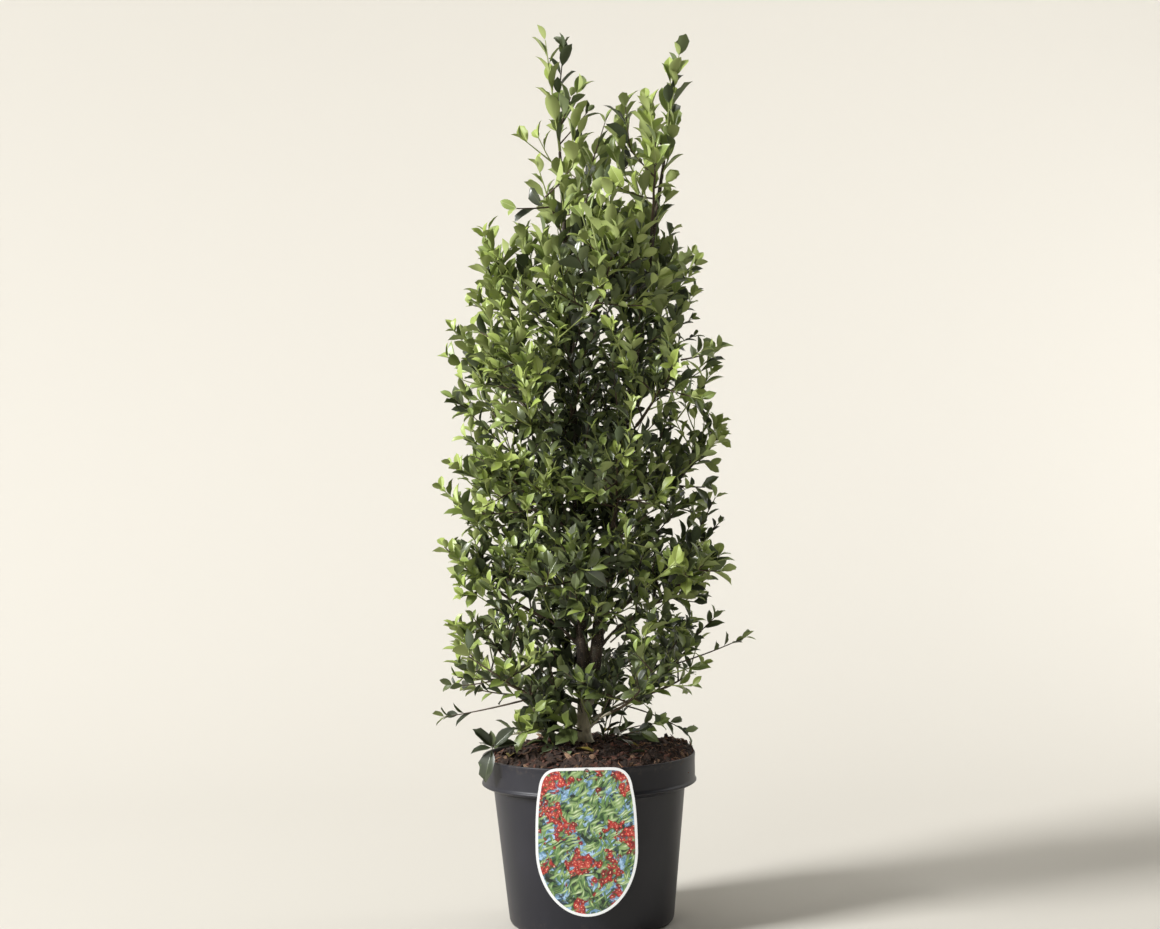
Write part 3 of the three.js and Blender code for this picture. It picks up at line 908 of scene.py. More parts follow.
@dataclass(frozen=True)
class LeafFinish:
    """The plain colours of a tint's blade, rib and underside, and its gloss."""

    colours: tuple[Colour, Colour, Colour]
    roughness: float
    coat: float

    def materials(self, name: str) -> list[bpy.types.Material]:
        """One material for each part of the leaf.

        Args:
            name: the tint's name.

        Returns:
            The materials, in the order of the parts.
        """
        made = []
        for part, colour in zip(LeafPart, self.colours):
            is_under = part is LeafPart.UNDER
            made.append(Paint(
                f"leaf_{name}_{part.name.lower()}",
                Base_Color=colour,
                Roughness=self.roughness + (0.25 if is_under else 0.0),
                Specular_IOR_Level=0.35 if is_under else 0.5,
                Coat_Weight=0.0 if is_under else self.coat,
                Coat_Roughness=0.22,
            ).material)
        return made


LEAF_FINISHES = {
    tint: LeafFinish(tuple(rgb(*colour) for colour in colours), roughness, coat)
    for tint, colours, roughness, coat in (
        (Tint.YOUNG, ((150, 166, 82), (184, 194, 128), (154, 166, 102)), 0.45, 0.12),
        (Tint.FRESH, ((126, 143, 71), (160, 170, 108), (136, 148, 92)), 0.42, 0.2),
        (Tint.MATURE, ((82, 93, 52), (119, 129, 84), (104, 115, 77)), 0.38, 0.36),
        (Tint.DARK, ((51, 58, 38), (82, 90, 59), (74, 84, 58)), 0.37, 0.34),
        (Tint.FALLEN, ((122, 134, 98), (178, 184, 150), (156, 164, 128)), 0.55, 0.0),
        (Tint.YELLOW, ((176, 158, 74), (196, 182, 120), (170, 156, 92)), 0.6, 0.0),
    )
}
# How far along the blade's stations lie, and how wide it is there
STATIONS = (
    (0.0, 0.028), (0.085, 0.034), (0.17, 0.42), (0.31, 0.82),
    (0.47, 1.0), (0.62, 0.97), (0.78, 0.75), (0.9, 0.34),
)
LEAN_STATIONS = (0, 2, 4, 6, 7)


class LeafForm(NamedTuple):
    """The outline and bend of one leaf, one long from its stalk's foot to its spine."""

    width: float
    fold: float
    curve: float
    twist: float
    wave: float
    teeth_left: tuple[int, ...] = ()
    teeth_right: tuple[int, ...] = ()
    is_lean: bool = False
    rib: float = 0.013
    thick: float = 0.013
    sunk: float = 0.004

    def edge(self, station: int, teeth: tuple[int, ...]) -> tuple[float, float]:
        """How far out and how far on the edge lies at a station, teeth among them.

        Args:
            station: the station's number.
            teeth: the stations that have a tooth.

        Returns:
            The distance from the rib and the distance along it.
        """
        along, share = STATIONS[station]
        half = share * self.width / 2
        if station in teeth:
            return half + 0.028, along + 0.03
        return half * (0.93 if station - 1 in teeth else 1), along

    def section(self, station: int) -> list[Point]:
        """The corners across a station: six above, or three if lean, and the keel below.

        Args:
            station: the station's number.

        Returns:
            The corners, from the left edge to the right one, and the keel.
        """
        along, share = STATIONS[station]
        fold = math.tan(self.fold) * smooth(share, 0.03, 0.5)
        corners: list[Point] = []
        for side, teeth in ((-1, self.teeth_left), (1, self.teeth_right)):
            half, on = self.edge(station, teeth)
            rib = min(self.rib * (1.15 - along), half * 0.5)
            lift = self.wave * half * math.sin(station * 1.9 + side)
            row = [
                (side * half, on, fold * half + lift),
                (side * half * 0.55, (along + on) / 2, fold * half * 0.65 + 0.05 * half),
                (side * rib, along, -self.sunk),
            ]
            row = row[:1] if self.is_lean else row
            corners += row if side < 0 else row[::-1]
        if self.is_lean:
            corners.insert(1, (0.0, along, -self.sunk))
        return [*corners, (0.0, along, -self.thick - (0.012 if station < 2 else 0.0))]

    def bent(self, x: float, y: float, z: float) -> Point:
        """A corner after the blade is twisted and curved back, with its tip hooked.

        Args:
            x: how far to the right it lies.
            y: how far along.
            z: how high.

        Returns:
            The corner in its place.
        """
        turn = self.twist * y
        x, z = x * math.cos(turn) - z * math.sin(turn), x * math.sin(turn) + z * math.cos(turn)
        angle = self.curve * y + 0.8 * max(0.0, y - 0.86)
        middle = 0.5 * angle
        along, across = y * math.cos(middle), -y * math.sin(middle)
        return x, along + z * math.sin(angle), across + z * math.cos(angle)

    def build(self) -> bpy.types.Mesh:
        """The leaf as a closed thin body, with the part that each face belongs to."""
        rows = [self.section(i) for i in (LEAN_STATIONS if self.is_lean else range(len(STATIONS)))]
        wide, last = len(rows[0]), len(rows) - 1
        corners = [self.bent(*corner) for row in rows for corner in row]
        tip = len(corners)
        faces: list[Face] = [(*range(wide - 2, -1, -1), wide - 1)]
        kinds = [LeafPart.RIB]
        spans = [(j, j + 1) for j in range(wide - 2)] + [(wide - 1, 0), (wide - 2, wide - 1)]
        for i in range(last + 1):
            for place, (j, k) in enumerate(spans):
                a, b = i * wide, i * wide + wide
                faces.append((a + j, a + k, *((b + k, b + j) if i < last else (tip,))))
                is_rib = i < 1 or (wide, place) == (7, 2)
                side = LeafPart.BLADE if place < wide - 2 else LeafPart.UNDER
                kinds.append(LeafPart.RIB if is_rib else side)
        mesh = bpy.data.meshes.new("leaf_form")
        mesh.from_pydata([*corners, self.bent(0, 1.0, 0)], (), faces, shade_flat=False)
        rims = {(wide * i + j, wide * i + wide + j if i < last else tip)
                for i in range(last + 1) for j in (0, wide - 2)}
        is_sharp = [tuple(sorted(edge.vertices)) in rims for edge in mesh.edges]
        put(mesh, "sharp_edge", "BOOLEAN", is_sharp, "EDGE")
        put(mesh, "part", "INT", [int(kind) for kind in kinds], "FACE")
        return mesh


LEAF_FORMS = (
    LeafForm(0.44, 0.42, 0.2, 0.1, 0.05),
    LeafForm(0.47, 0.36, 0.3, -0.15, 0.07, (5,), ()),
    LeafForm(0.42, 0.5, 0.12, 0.05, 0.06, (), (4, 6)),
    LeafForm(0.48, 0.3, 0.45, 0.2, 0.08, (4, 6), (5,)),
    LeafForm(0.46, 0.4, 0.1, -0.1, 0.05),
    LeafForm(0.4, 0.55, 0.25, 0.0, 0.04, (6,), (6,)),
    LeafForm(0.5, 0.26, 0.5, -0.25, 0.09, (5,), (4, 6)),
    LeafForm(0.45, 0.46, -0.15, 0.12, 0.06),
    LeafForm(0.46, 0.4, 0.2, 0.1, 0.05, is_lean=True),
    LeafForm(0.5, 0.3, 0.4, -0.2, 0.07, is_lean=True),
    LeafForm(0.43, 0.5, 0.1, 0.05, 0.06, is_lean=True),
)
FULL_FORMS = sum(not form.is_lean for form in LEAF_FORMS)


class Leaf(NamedTuple):
    """One leaf on its twig."""

    root: Vector
    heading: Vector
    facing: Vector
    length: float
    form: int
    tint: Tint


class Twig(NamedTuple):
    """One twig: its line, its radius along the way and whether it is green."""

    points: list[Vector]
    radii: list[float]
    is_green: bool


class LeafPress:
    """Sets leaves of a few forms at their places and paints them by tint and part."""

    def __init__(self) -> None:
        """Makes the forms, the finishes and the tree that sets them."""
        self.forms = Forms("leaf_forms", [form.build() for form in LEAF_FORMS])
        self.tree = tree = GeometryTree("leaf_setting", Forms="Collection")
        ways = {i: tree.named(way, "FLOAT_VECTOR") for i, way in enumerate(("heading", "facing"))}
        turn = tree.wire("FunctionNodeAxesToRotation", ways, primary_axis="Y", secondary_axis="Z")
        leaves = tree.set_on(
            tree.given(), tree.forms(), turn, Scale=tree.named("size"), Pick_Instance=True,
            Instance_Index=tree.named("form", "INT"),
        )
        tint, part = tree.named("tint", "INT"), tree.named("part", "INT")
        paints = []
        for kind, finish in LEAF_FINISHES.items():
            for place, material in zip(LeafPart, finish.materials(kind.name.lower())):
                off, away = tint - int(kind), part - int(place)
                paints.append((off * off + away * away < 0.5, material))
        tree.close(leaves, paints)

    def press(self, name: str, leaves: Sequence[Leaf]) -> bpy.types.Object:
        """Makes one piece of many leaves.

        Args:
            name: the piece's name.
            leaves: the leaves to set.

        Returns:
            The piece, a plain mesh in its place.
        """
        roots, headings, facings, lengths, forms, tints = zip(*leaves)
        mesh = new_mesh(name, roots)
        put(mesh, "heading", "FLOAT_VECTOR", np.ravel(headings))
        put(mesh, "facing", "FLOAT_VECTOR", np.ravel(facings))
        put(mesh, "size", "FLOAT", [length * MM for length in lengths])
        put(mesh, "form", "INT", forms)
        put(mesh, "tint", "INT", tints)
        piece = self.tree.run(new_object(name, mesh), Forms=self.forms.collection)
        piece.data.materials.pop(index=0)  # the empty slot of the bare forms
        return strip(piece, "tint", "part")


class TwigLathe:
    """Draws round twigs along their lines."""

    def __init__(self, paints: Sequence[bpy.types.Material], sides: int = 5) -> None:
        """Makes the tree that draws them.

        Args:
            paints: the material of woody twigs and of green ones.
            sides: how many corners a twig has across.
        """
        self.sides = sides
        self.tree = tree = GeometryTree("twig_drawing", Sides="Int")
        line = tree.wire("GeometryNodeMeshToCurve", {"Mesh": tree.given()})
        values = {"Resolution": tree.given("Sides"), "Radius": 1.0}
        ring = tree.wire("GeometryNodeCurvePrimitiveCircle", values)
        values = {"Curve": line, "Profile Curve": ring, "Scale": tree.named("thickness")}
        twigs = tree.wire("GeometryNodeCurveToMesh", {**values, "Fill Caps": True})
        twigs = tree.wire("GeometryNodeSetShadeSmooth", {"Geometry": twigs})
        tree.close(twigs, ((True, paints[0]), (tree.named("tone") > 0.5, paints[1])))

    def draw(self, name: str, twigs: Sequence[Twig]) -> bpy.types.Object:
        """Makes one piece of many twigs.

        Args:
            name: the piece's name.
            twigs: the twigs to draw.

        Returns:
            The piece, a plain mesh in its place.
        """
        points = [point for twig in twigs for point in twig.points]
        ends = set(np.cumsum([len(twig.points) for twig in twigs]).tolist())
        edges = [(i - 1, i) for i in range(1, len(points)) if i not in ends]
        mesh = new_mesh(name, points, edges=edges)
        put(mesh, "thickness", "FLOAT", [radius * MM for twig in twigs for radius in twig.radii])
        put(mesh, "tone", "FLOAT", [float(twig.is_green) for twig in twigs for _ in twig.points])
        piece = self.tree.run(new_object(name, mesh), Sides=self.sides)
        return strip(piece, "thickness", "tone")


# ---- Growth: the solids' shoots, carried on to finer twigs and life-size leaves ----

Y, F, M, D = Tint.YOUNG, Tint.FRESH, Tint.MATURE, Tint.DARK
Span = tuple[float, float]


class Pace(NamedTuple):
    """How a shoot creeps: its step, rise and wander, and the room that it needs ahead."""

    step: float
    rise: float
    wander: float
    room: float


def creep(
    start: Vector, heading: Vector, length: float, pace: Pace, numbers: SeededRandom,
    is_open: Callable[[Vector], bool],
) -> list[Vector]:
    """The points of a shoot, step by step.

    Args:
        start: where it leaves its limb.
        heading: its first direction.
        length: how far it may grow.
        pace: how it creeps.
        numbers: where its wander comes from.
        is_open: whether it may grow towards a point.

    Returns:
        The points, the start among them.
    """
    points, heading = [start.copy()], heading.copy()
    for _ in range(int(length / pace.step)):
        onward = points[-1] + heading * pace.step
        if not is_open(onward + heading * pace.room):
            break
        points.append(onward)
        heading.z += pace.rise
        heading.x += numbers.jitter(pace.wander)
        heading.y += numbers.jitter(pace.wander)
        heading.normalize()
    return points


@dataclass(frozen=True)
class Habit:
    """How the shoots run and how the leaves sit on them. Pairs are for low and high in the
    crown, where the shoots are longer, straighter and further apart."""

    shoot: Pace = Pace(16, 0.05, 0.2, 20)
    sprig: Pace = Pace(8, 0.07, 0.12, 12)
    spread: float = 1.1
    side_length: Span = (84, 50)
    cell_margin: float = 0.4
    sprig_length: Span = (46, 78)
    sprig_spread: float = 0.78
    sprig_upward: Span = (0.6, 1.5)
    sprigs_per_node: Span = (1.8, 0.35)
    leaf_spread: Span = (0.74, 0.62)
    leaf_lift: Span = (0.22, 0.34)
    leaf_by_outness: Span = (0.84, 1.1)
    lean_within: float = 0.78
    leaf_upward: float = 0.4
    leaf_roll: float = 1.3
    internode: Span = (7.6, 12.5)
    leaf_length: Span = (27, 37)
    spur_step: Span = (13, 30)
    stem_spur_step: float = 5.0

    def vigour(self, spot: Vector) -> float:
        """How much like the leading shoots the growth at a point is, from 0 to 1."""
        return smooth(spot.z, 680, 1010)


class Stray(NamedTuple):
    """A lone shoot: its end, its tint, the size of its leaves, how much of it is bare, its
    sag, its girth and, where it starts far off, its root."""

    x: float
    y: float
    z: float
    tint: Tint
    leaf: float = 1.1
    bare: float = 0.3
    sag: float = 0
    girth: float = 1.1
    root: Point | None = None

    @property
    def start(self) -> Point:
        """Where it starts, unless told: further in and lower down."""
        return self.root or (self.x * 0.7, self.y * 0.7, self.z - 40)


STRAYS = tuple(Stray(*row) for row in (
    (-186, -44, 279, M, 0.8, 0.72, 4, 1.5, (-66, -60, 296)),
    (-174, -52, 320, D, 0.85, 0.5, 6, 1.3, (-100, -50, 352)),
    (208, -34, 374, M, 0.65, 0.55, 4, 1.1, (120, -30, 336)),
    (128, -40, 252, D, 0.85, 0.5, -8, 1.1, (70, -30, 262)),
    (-58, -60, 288, F, 1.9, 0.35, 0, 1.3, (-8, -8, 246)),
    (-30, -80, 268, M, 1.8, 0.35, 0, 1.3, (-8, -8, 244)),
    (-84, -56, 262, F, 1.8, 0.4, -6, 1.2, (-10, -8, 244)), (-46, -60, 652, M, 0.8),
    (-40, 20, 636, D, 0.8), (-36, -30, 614, D, 0.8), (-38, -90, 608, M, 0.8),
    (-60, -70, 396, M, 0.9), (-74, 10, 388, D, 0.9), (-48, -30, 380, D, 0.85),
    (-116, -70, 424, M, 0.9), (-104, -40, 404, F, 0.9), (-84, -84, 380, M, 0.85),
    (-72, -30, 352, D, 0.85), (-60, 30, 356, D, 0.85), (-134, -20, 436, F, 0.9),
    (100, -60, 560, M, 0.85), (122, -30, 552, F, 0.85), (112, 20, 540, D, 0.85),
    (132, -50, 568, F, 1.0), (116, -84, 540, M, 1.0), (-62, -70, 318, M, 1.0),
    (146, -20, 790, M, 0.85), (150, 10, 770, D, 0.8), (88, -70, 268, M, 1.2, 0.3, -6),
    (66, -66, 258, D, 1.4, 0.3, -6), (-38, 0, 1164, Y, 1.05, 0.05, 0, 1.5, (-22, 2, 1018)),
    (138, 0, 1140, Y, 1.05, 0.1, 0, 1.4, (116, 4, 1006)),
    (-14, 6, 1156, D, 0.8, 0.3, 0, 1.2, (-24, 2, 1080)),
    (126, -6, 1110, F, 1.15, 0.2, 0, 1.2, (118, 4, 1036)), (4, -10, 1094, F, 0.95, 0.15),
    (-2, 10, 1046, F, 1.0, 0.1), (0, -70, 806, M, 0.8), (24, 30, 796, D, 0.8),
    (30, -60, 748, M, 0.75), (24, -90, 708, D, 0.75), (30, 20, 728, D, 0.75),
    (22, -50, 676, M, 0.75), (30, 40, 684, D, 0.75), (34, -110, 800, D, 0.75),
    (-26, -120, 776, F, 0.8), (88, -120, 545, M, 0.9), (-170, -50, 396, Y, 1.0, 0.5),
    (-162, -76, 350, F, 1.05, 0.5), (-158, -50, 448, Y, 1.05, 0.5),
    (-160, -84, 556, Y, 1.35, 0.5), (-156, -90, 600, Y, 1.25, 0.5), (-170, -44, 606, F, 0.9, 0.5),
    (-150, -60, 640, Y, 0.95, 0.5), (-164, -40, 780, F, 0.9), (-132, -70, 816, F, 0.9),
    (-122, -42, 900, Y, 0.8, 0.4), (-104, -60, 872, F, 0.8), (-70, -30, 1030, F, 0.8),
    (-50, -40, 990, Y, 0.8), (168, -50, 716, Y, 1.0, 0.4), (176, -40, 630, F, 0.8, 0.5),
    (138, -90, 690, F, 0.9), (148, -60, 342, F, 1.1, 0.5), (130, -90, 366, M, 1.1),
    (92, -120, 320, F, 1.0), (150, -40, 858, F, 0.95), (142, 10, 868, M, 0.9),
    (140, -70, 840, F, 0.9), (152, 0, 828, D, 0.9), (150, -14, 876, F, 0.8),
    (146, -50, 816, Y, 0.9), (62, -176, 676, Y, 0.95), (38, -172, 770, Y, 0.9),
    (-70, -172, 552, Y, 0.95), (-74, -168, 708, F, 0.95), (10, -172, 790, F, 0.85),
    (112, -154, 478, Y, 1.0), (100, -156, 570, F, 0.95), (30, -130, 928, Y, 0.9),
    (97, -70, 1000, Y, 0.95), (100, -116, 838, Y, 0.85), (-42, -136, 842, Y, 0.85),
    (-6, -14, 1086, M, 0.8, 0.15), (16, -26, 1064, D, 0.8, 0.15), (38, -22, 1050, M, 0.8, 0.15),
    (62, -8, 1044, F, 0.8, 0.15), (-24, 30, 1060, F, 0.8, 0.15), (120, 150, 680, F, 0.9),
    (-80, 140, 860, Y, 0.9), (-140, 110, 530, Y, 1.0), (40, 186, 590, F, 1.0),
    (-30, 182, 750, Y, 0.95), (60, 116, 920, F, 0.9), (-150, -40, 700, F, 0.9),
    (-140, -80, 668, M, 0.85), (-128, 20, 690, D, 0.85), (-150, -40, 732, F, 0.9),
    (-140, 10, 724, M, 0.9), (-120, -100, 452, F, 1.0), (-96, -100, 434, M, 1.0),
    (-72, -96, 410, F, 1.0), (-22, -70, 760, D, 1.05), (20, -84, 772, D, 1.1),
    (0, -94, 736, M, 1.05), (-14, -74, 702, D, 1.1), (40, -84, 742, D, 1.05),
    (10, -90, 668, D, 1.0), (134, -60, 398, F, 1.0), (140, 0, 390, D, 0.95),
    (122, -90, 382, M, 1.0), (144, -30, 530, F, 0.95), (176, -20, 522, D, 0.8),
    (172, -30, 556, M, 0.85), (168, -30, 400, M, 0.9), (-146, -30, 404, M, 0.9),
    (136, -40, 312, F, 1.0), (-186, 0, 574, F, 0.9),
))


# The rosette that hangs over the rim: heading, facing, length, form and tint
DROOP_LEAVES = (
    ((-0.62, -0.25, 0.75), (0.5, -0.8, 0.4), 36, 5, D),
    ((0.7, -0.15, 0.65), (-0.3, -0.9, 0.5), 40, 2, D),
    ((0.9, 0.1, 0.2), (0, -0.7, 0.8), 32, 0, D),
    ((-0.9, -0.3, -0.05), (0, -0.5, 1), 30, 1, D),
    ((-0.32, -0.35, -0.85), (-0.4, -0.9, 0.3), 46, 6, D),
    ((0.15, -0.85, 0.15), (0, 0.1, 1), 27, 4, M),
    ((-0.1, 0.1, 1.0), (0.2, -1, 0), 22, 7, M),
    ((-0.5, 0.8, 0.3), (0, 0, 1), 32, 3, D),
    ((0.2, 0.9, 0.1), (0, 0, 1), 30, 0, M),
)


@dataclass
class Growth:
    """Grows every mass of the plant and keeps its twigs and leaves by tier.

    Of the growing shoot it knows the tier, whether it has a space of its own, apart from the
    crown, and the numbers that it draws from.
    """

    plan: Plan
    habit: Habit = Habit()
    rim_radius: float = 140
    mound_top: float = 236
    front: float = -221
    tier: str = ""
    is_free: bool = False
    fine: SeededRandom = field(default_factory=lambda: SeededRandom(0))

    def __post_init__(self) -> None:
        """Makes an empty list of twigs and of leaves for each tier."""
        tiers = (*(tier.name for tier in TIERS), "tips")
        self.twigs: dict[str, list[Twig]] = {tier: [] for tier in tiers}
        self.leaves: dict[str, list[Leaf]] = {tier: [] for tier in tiers}

    def in_own_cell(self, spot: Vector, mass: Mass) -> bool:
        """Whether a point is nearer to its own mass's middle than to any other's.

        Args:
            spot: the point.
            mass: the mass that grows there.

        Returns:
            True if it is, with room to spare.
        """
        own = (spot - mass.centre).length_squared
        for other in self.plan.masses:
            if other is not mass:
                spacing = (other.centre - mass.centre).length
                to_border = ((spot - other.centre).length_squared - own) / (2 * spacing)
                if to_border < self.habit.cell_margin:
                    return False
        return mass.in_space(spot)

    def is_blocked(self, spot: Vector) -> bool:
        """Whether a point lies in the pot, the compost or a stem.

        Args:
            spot: the point.

        Returns:
            True if it does.
        """
        out = math.hypot(spot.x, spot.y)
        if out < self.rim_radius + 3 and spot.z < self.mound_top - 12 * smooth(out, 120, 143):
            return True
        for limb, girth in ((self.plan.trunk, 7.0), (self.plan.leader, 6.0)):
            low, high = limb.points[0].z, limb.points[-1].z
            up = (spot.z - low) / (high - low)
            if 0 < up < 1:
                middle = limb.points[int(up * (len(limb.points) - 1))]
                if (spot - middle).xy.length < girth * (1.25 - up):
                    return True
        return False

    def tint(self, spot: Vector) -> Tint:
        """The tint that a spray gets for its place, partly by age and partly as painted light:
        light on top and outside, lighter towards the sides and most on the left, where the key
        light falls, and dark within and in the front middle, where shade falls.

        Args:
            spot: the end of the spray.

        Returns:
            The tint.
        """
        crown = self.plan.crown
        off = crown.at(spot.z)[0] - spot.x
        crest = smooth(spot.z, 800, 980)
        score = 0.11 + 0.4 * (spot.z - 260) / 900 + 0.46 * crest - 0.06 * smooth(spot.z, 640, 780)
        score += 0.28 * min(crown.outness(spot), 1.1) ** 2
        # Painted light: sprays towards the sides are lighter and those on the left lighter still,
        # where the key light falls; the front middle is left darker as painted shade.
        score += 0.34 * abs(off) / 200 + 0.1 * clamp(off / 150)
        score += self.fine.jitter(mix(0.74, 1.2, crest))
        return next((tint for tint, least in ((Y, 0.8), (F, 0.58), (M, 0.35)) if score > least), D)

    def add_twig(self, points: list[Vector], thick: float, thin: float, is_green: bool) -> None:
        """Keeps one twig, drawn smooth through its points and a little thicker at its nodes.

        Args:
            points: the points that it was grown through.
            thick: its radius at the foot.
            thin: its radius at the tip.
            is_green: whether it is a green shoot.
        """
        path = Path.through(points, 2).points
        last = len(path) - 1
        radii = [mix(thick, thin, i / last) * (1.0 if i % 2 else 1.12) for i in range(last + 1)]
        self.twigs[self.tier].append(Twig(path, radii, is_green))

    def add_leaf(self, root: Vector, axis: Vector, turn: float, tint: Tint, size: float) -> None:
        """Sets one leaf on a twig, unless it would lie in the pot, a stem or an opening.

        Args:
            root: its place on the twig.
            axis: the twig's direction there.
            turn: its turn about the twig.
            tint: its tint.
            size: its length against the usual one of its place.
        """
        habit, fine, crown = self.habit, self.fine, self.plan.crown
        vigour, out = habit.vigour(root), crown.outness(root)
        spread = mix(*habit.leaf_spread, vigour) * fine.between(0.65, 1.35)
        heading = branch_direction(axis, turn, spread)
        heading.z += mix(*habit.leaf_lift, vigour)
        heading.normalize()
        facing = axis.lerp(UP, habit.leaf_upward)
        facing.rotate(Matrix.Rotation(fine.jitter(habit.leaf_roll), 3, heading))
        by_place = mix(mix(*habit.leaf_by_outness, smooth(out, 0.4, 0.95)), 1, vigour)
        length = mix(*habit.leaf_length, vigour) * by_place * size * fine.between(0.72, 1.2)
        middle, end = root + heading * length * 0.5, root + heading * length
        is_plain = out < habit.lean_within and vigour < 0.5 and size < 1.2
        is_lean = is_plain and not self.is_free
        first, kinds = (FULL_FORMS, len(LEAF_FORMS) - FULL_FORMS) if is_lean else (0, FULL_FORMS)
        form = first + int(fine() * kinds)
        is_off = fine() < crown.gap(middle) or end.y < self.front
        if is_off or self.is_blocked(middle) or self.is_blocked(end):
            return
        if self.is_free or crown.leafy(end, 0.16):
            leaf = Leaf(root, heading, square_to(facing, heading), length, form, tint)
            self.leaves[self.tier].append(leaf)

    def add_leaves(
        self, points: list[Vector], first: float, tint: Tint, scale: float = 1.0
    ) -> None:
        """Sets leaves in a spiral along a twig, with a pair of small ones at its tip.

        Args:
            points: the twig's points.
            first: how far along the twig the first leaf sits.
            tint: the spray's tint.
            scale: the leaves' size against the usual one.
        """
        path, along, turn = Path(points), first, self.fine() * ANY_TURN
        paler = Tint(max(tint - 1, 0))
        internode = mix(*self.habit.internode, self.habit.vigour(points[0]))
        while along < path.length:
            share = along / path.length
            # Near the tip some leaves keep the paler tint of young growth; elsewhere some, dealt at
            # random, are one or two tints darker as painted shade for leaves in shadow.
            leaf_tint = paler
            if share <= 0.6 or self.fine() >= 0.35:
                dim = self.fine()
                leaf_tint = Tint(min(tint + (dim < 0.32) + (dim < 0.16), D))
            size = scale * (1.0 - 0.25 * max(0.0, share - 0.7) / 0.3)
            self.add_leaf(path.at(share), path.heading(share), turn, leaf_tint, size)
            turn += GOLDEN_TURN
            along += internode * self.fine.between(0.75, 1.3)
        for more in (0, 2.6):
            self.add_leaf(path.at(1), path.heading(1), turn + more, paler, 0.7 * scale)

    def add_sprig(
        self, root: Vector, heading: Vector, length: float, is_base: bool = False,
        scale: float = 1.0,
    ) -> None:
        """Grows one fine leafy twig.

        Args:
            root: where it starts.
            heading: its first direction.
            length: how far it may grow.
            is_base: whether it stands at the trunk's foot, below the crown.
            scale: its leaves' size against the usual one.
        """
        crown, fine, kept = self.plan.crown, self.fine, self.leaves[self.tier]
        slack = fine.between(-0.24, 0.12)

        def is_open(spot: Vector) -> bool:
            """Whether the shoot may grow to a point."""
            return (is_base or crown.leafy(spot, slack)) and not self.is_blocked(spot)

        points = creep(root, heading, length, self.habit.sprig, fine, is_open)
        if len(points) < 3:
            return
        tint, count = self.tint(points[-1]), len(kept)
        if fine() < crown.gap(points[-1]) * 0.75:
            return
        self.add_leaves(points, fine.between(5, 9), tint, scale)
        if len(kept) < count + 3:
            del kept[count:]
            return
        is_green = tint <= F or fine() < 0.45
        self.add_twig(points, 1.1 if is_green else 0.85, 0.55, is_green)

    def add_sprigs(self, root: Vector, axis: Vector, is_tip: bool) -> None:
        """Grows the sprigs of one node of a shoot.

        Args:
            root: the node.
            axis: the shoot's direction there.
            is_tip: whether the shoot stands on the end of a stem.
        """
        habit, fine, vigour = self.habit, self.fine, self.habit.vigour(root)
        wanted = 0 if is_tip else mix(*habit.sprigs_per_node, vigour)
        for k in range(int(wanted + fine())):
            turn = fine() * ANY_TURN + k * 3
            heading = branch_direction(axis, turn, habit.sprig_spread * fine.between(0.75, 1.25))
            heading.z += mix(*habit.sprig_upward, vigour)
            heading.normalize()
            length = mix(*habit.sprig_length, vigour) * fine.between(0.6, 1.35)
            self.add_sprig(root, heading, length)

    def trimmed(self, shoot: list[Vector]) -> list[Vector]:
        """A shoot without the end that would stand bare outside the ragged rim."""
        crown = self.plan.crown
        while len(shoot) > 1 and (not crown.leafy(shoot[-1], 0.03) or crown.gap(shoot[-1]) > 0.4):
            shoot = shoot[:-1]
        return shoot

    def shoots(self, mass: Mass, seed: int) -> tuple[list[Vector], list[list[Vector]]]:
        """The mass's stem and side shoots, as in the solids, with more sides between.

        Args:
            mass: the mass to grow.
            seed: the seed that the mass has in the solids.

        Returns:
            The stem's points and those of each side shoot.
        """
        pace, numbers = self.habit.shoot, SeededRandom(seed)
        rounding = pace.step / 2

        def is_open(spot: Vector) -> bool:
            """Whether the shoot may grow to a point."""
            return self.in_own_cell(spot, mass)

        ahead = mass.limb.heading(1)
        start = mass.limb.at(1) + ahead * 0.3
        stem = creep(start, ahead, mass.reach + rounding, pace, numbers, is_open)
        last = len(stem) - 1
        if last < 1:
            return [], []
        sides = []
        for i in (*range(1, last, 2), *range(2, last, 2)):
            axis = (stem[i] - stem[i - 1]).normalized()
            length = mix(*self.habit.side_length, i / last) + rounding
            heading = branch_direction(axis, seed + i * GOLDEN_TURN, self.habit.spread)
            source = numbers if i % 2 else self.fine
            sides.append(creep(stem[i], heading, length, pace, source, is_open))
        sides = [side for side in sides if len(side) > 1]
        if mass.is_tip:
            return stem[:4], sides[:1]
        sides = [side for side in map(self.trimmed, sides) if len(side) > 1]
        return self.trimmed(stem), sides

    def grow_mass(self, mass: Mass, seed: int) -> None:
        """Grows a mass's shoots, then the sprigs and leaves on them.

        Args:
            mass: the mass.
            seed: the seed that it has in the solids.
        """
        self.tier, self.is_free, self.fine = mass.tier, mass.is_tip, SeededRandom(seed + 5000)
        stem, sides = self.shoots(mass, seed)
        if not stem:
            return
        if len(stem) > 1:
            self.add_twig(stem, max(mass.bough_radius * 0.72, 2.0), 0.8, mass.is_tip)
        kept = self.leaves[self.tier]
        for shoot in (stem, *sides):
            is_bough = shoot is stem and not mass.is_tip
            count, before = len(shoot) - 1, len(kept)
            for i in range(1, count + 1):
                if not is_bough or i >= count * 0.3:
                    axis = (shoot[i] - shoot[i - 1]).normalized()
                    self.add_sprigs(shoot[i], axis, mass.is_tip)
            tint = self.tint(shoot[-1])
            self.add_leaves(shoot, Path(shoot).length * (0.4 if is_bough else 0.2), tint)
            if shoot is not stem and len(kept) > before + 2:
                self.add_twig(shoot, 1.25, 0.75, False)
            elif shoot is not stem:
                del kept[before:]

    def nearest_tier(self, spot: Vector) -> str:
        """The tier of the mass whose middle is nearest."""
        return min(self.plan.masses, key=lambda mass: (mass.centre - spot).length).tier

